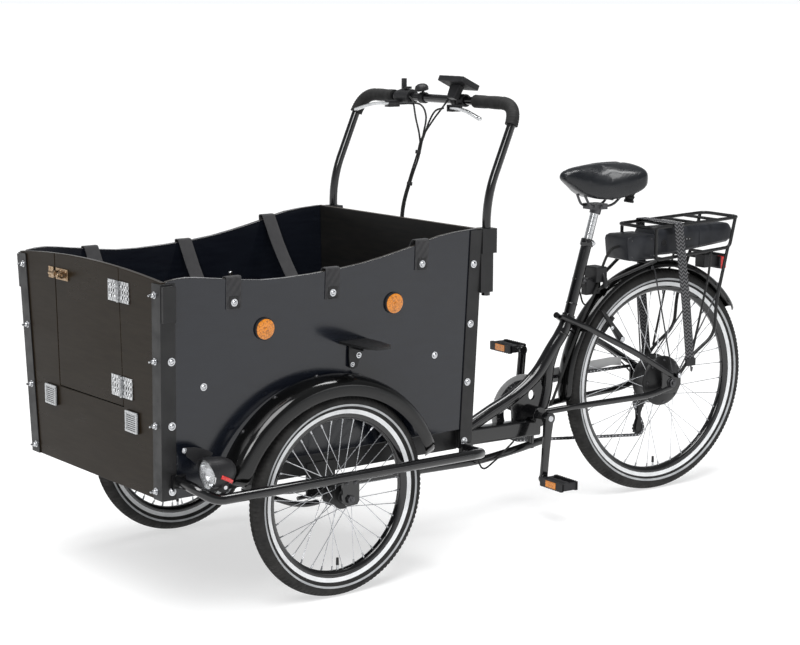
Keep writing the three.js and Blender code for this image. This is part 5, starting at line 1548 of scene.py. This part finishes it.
def tail_light():
    housing = Shape().block((-20, 1530, 651), (20, 1586, 692))
    housing.block((-31, 1583, 646), (31, 1590, 683))
    housing.block((-6, 1536, 688), (6, 1548, 697))
    name = "tail_light"
    housing.make(f"{name}_housing", "rear_frame", ["plastic"], REAR, [name], "plastic", bevel=2.5)
    lens = Shape().block((-32, 1586, 645), (32, 1610, 684))
    lens.make("tail_light_lens", "rear_frame", ["red"], REAR, slot="lamp", bevel=4)


def luggage_strap():
    """Patterned elastic strap over the rack, hooked to the rack's legs."""
    x, top, width = 85, rack_z(1368) + 7.4, 32
    left = [(x + 12, 1416, 388), (x + 12, 1394, 560), (x, 1369, top - 14), (x, 1368, top)]
    corners = left + [(-a, b, c) for a, b, c in reversed(left)]
    path = rounded(corners, 9, 5)
    fine = []
    for a, b in zip(path, path[1:]):
        steps = max(1, int((b - a).length / 12))
        fine += [a.lerp(b, k / steps) for k in range(steps)]
    fine.append(path[-1])
    section = [(-16, -1.2), (16, -1.2), (16, 1.2), (-16, 1.2)]
    shape = Shape().sweep(section, fine, (0, 1, 0))
    run = 0.0
    for i, here in enumerate(fine):
        run += (here - fine[i - 1]).length / width if i else 0
        shape.uvs += [(0, run), (1, run), (1, run), (0, run)]
    shape.make("luggage_strap_look", "rear_frame", ["zigzag"], REAR, ["luggage_strap"], "luggage_webbing",
               smooth=60)
    hooks = Shape()
    for s in (1, -1):
        hook = [(s * 97, 1416, 392), (s * 97, 1420, 372), (s * 92, 1426, 360), (s * 86, 1434, 372)]
        hooks.tube(rounded(hook, 8, 6), 2.6, 12)
        hooks.block((s * 97 - 3.6, 1398, 380), (s * 97 + 3.6, 1434, 402), 1)
    hooks.make("luggage_hooks", "rear_frame", ["dark_steel", "plastic"], REAR, slot="dark_steel", bevel=0.6)


# ---------------------------------------------------------------- picture
CAMERA = {"at": (4.248, -2.990, 1.443), "azimuth": 56.156, "elevation": 9.563, "roll": 0.199, "lens": 87.08}


def add_camera():
    a, e, r = (math.radians(CAMERA[k]) for k in ("azimuth", "elevation", "roll"))
    back = Vector((math.sin(a) * math.cos(e), -math.cos(a) * math.cos(e), math.sin(e)))
    right = Vector((math.cos(a), math.sin(a), 0))
    up = back.cross(right)
    right, up = right * math.cos(r) + up * math.sin(r), up * math.cos(r) - right * math.sin(r)
    data = bpy.data.cameras.new("camera")
    data.sensor_width = 36
    data.lens = CAMERA["lens"]
    data.clip_end = 1000
    camera = bpy.data.objects.new("camera", data)
    bpy.context.scene.collection.objects.link(camera)
    camera.matrix_world = Matrix.Translation(CAMERA["at"]) @ Matrix((right, up, back)).transposed().to_4x4()
    bpy.context.scene.camera = camera


def softbox(name, at, target, width, height, power):
    data = bpy.data.lights.new(name, "AREA")
    data.shape = "RECTANGLE"
    data.size, data.size_y, data.energy = width, height, power
    lamp = bpy.data.objects.new(name, data)
    bpy.context.scene.collection.objects.link(lamp)
    lamp.location = at
    lamp.rotation_euler = (Vector(target) - Vector(at)).to_track_quat("-Z", "Y").to_euler()


def studio():
    """White floor without an end, dark surroundings with a bright horizon, a wide sun and softboxes."""
    half = 300
    mesh = bpy.data.meshes.new("floor")
    mesh.from_pydata([(-half, -half, 0), (half, -half, 0), (half, half, 0), (-half, half, 0)], [],
                     [[0, 1, 2, 3]])
    floor_look = new_material("floor", (0.45, 0.45, 0.45), 0.8, specular=0.1)
    paint(floor_look, blend(floor_look, noise(floor_look, 1.5), (0.44, 0.44, 0.44), (0.46, 0.46, 0.46)))
    shader_of(floor_look).inputs["Emission Color"].default_value = (1, 1, 1, 1)
    shader_of(floor_look).inputs["Emission Strength"].default_value = 0.62
    mesh.materials.append(floor_look)
    floor = bpy.data.objects.new("floor", mesh)
    bpy.context.scene.collection.objects.link(floor)
    world = bpy.data.worlds.new("studio")
    world.use_nodes = True
    background = world.node_tree.nodes["Background"]
    direction = node(world, "ShaderNodeTexCoord")
    parts = node(world, "ShaderNodeSeparateXYZ")
    wire(world, direction.outputs["Generated"], parts.inputs[0])
    wire(world, spread(world, parts.outputs["Z"], 1.0, 0.24, 0.03, 0.3), background.inputs["Strength"])
    background.inputs["Color"].default_value = (0.96, 0.98, 1, 1)
    bpy.context.scene.world = world
    sun = bpy.data.lights.new("sun", "SUN")
    sun.energy, sun.angle = 2.5, math.radians(35)
    lamp = bpy.data.objects.new("sun", sun)
    bpy.context.scene.collection.objects.link(lamp)
    lamp.rotation_euler = Vector((-0.35, 0.3, -1)).to_track_quat("-Z", "Y").to_euler()
    softbox("key", (2.6, -3.4, 3.2), (0, -0.2, 0.5), 1.6, 1.0, 60)
    softbox("top", (-0.3, 0.4, 3.4), (0, 0, 0.3), 3.0, 0.5, 60)
    softbox("pool", (3.3, 1.9, 1.3), (3.3, 1.9, 0), 1.6, 1.6, 14)
    bpy.context.scene.view_settings.view_transform = "Standard"


def build():
    for side, word in SIDES:
        front_wheel(side, word)
    rear_wheel()
    panels()
    panel_bolts()
    reflectors()
    door_furniture()
    box_straps()
    chassis()
    front_fenders()
    headlamp()
    side_step()
    handlebar()
    controls()
    rear_frame()
    rear_fender()
    seat_clamp()
    seat_post()
    saddle()
    cranks()
    chain()
    cassette()
    derailleur()
    chain_guard()
    rear_brake()
    rack()
    battery()
    controller()
    tail_light()
    luggage_strap()


build()
add_camera()
studio()
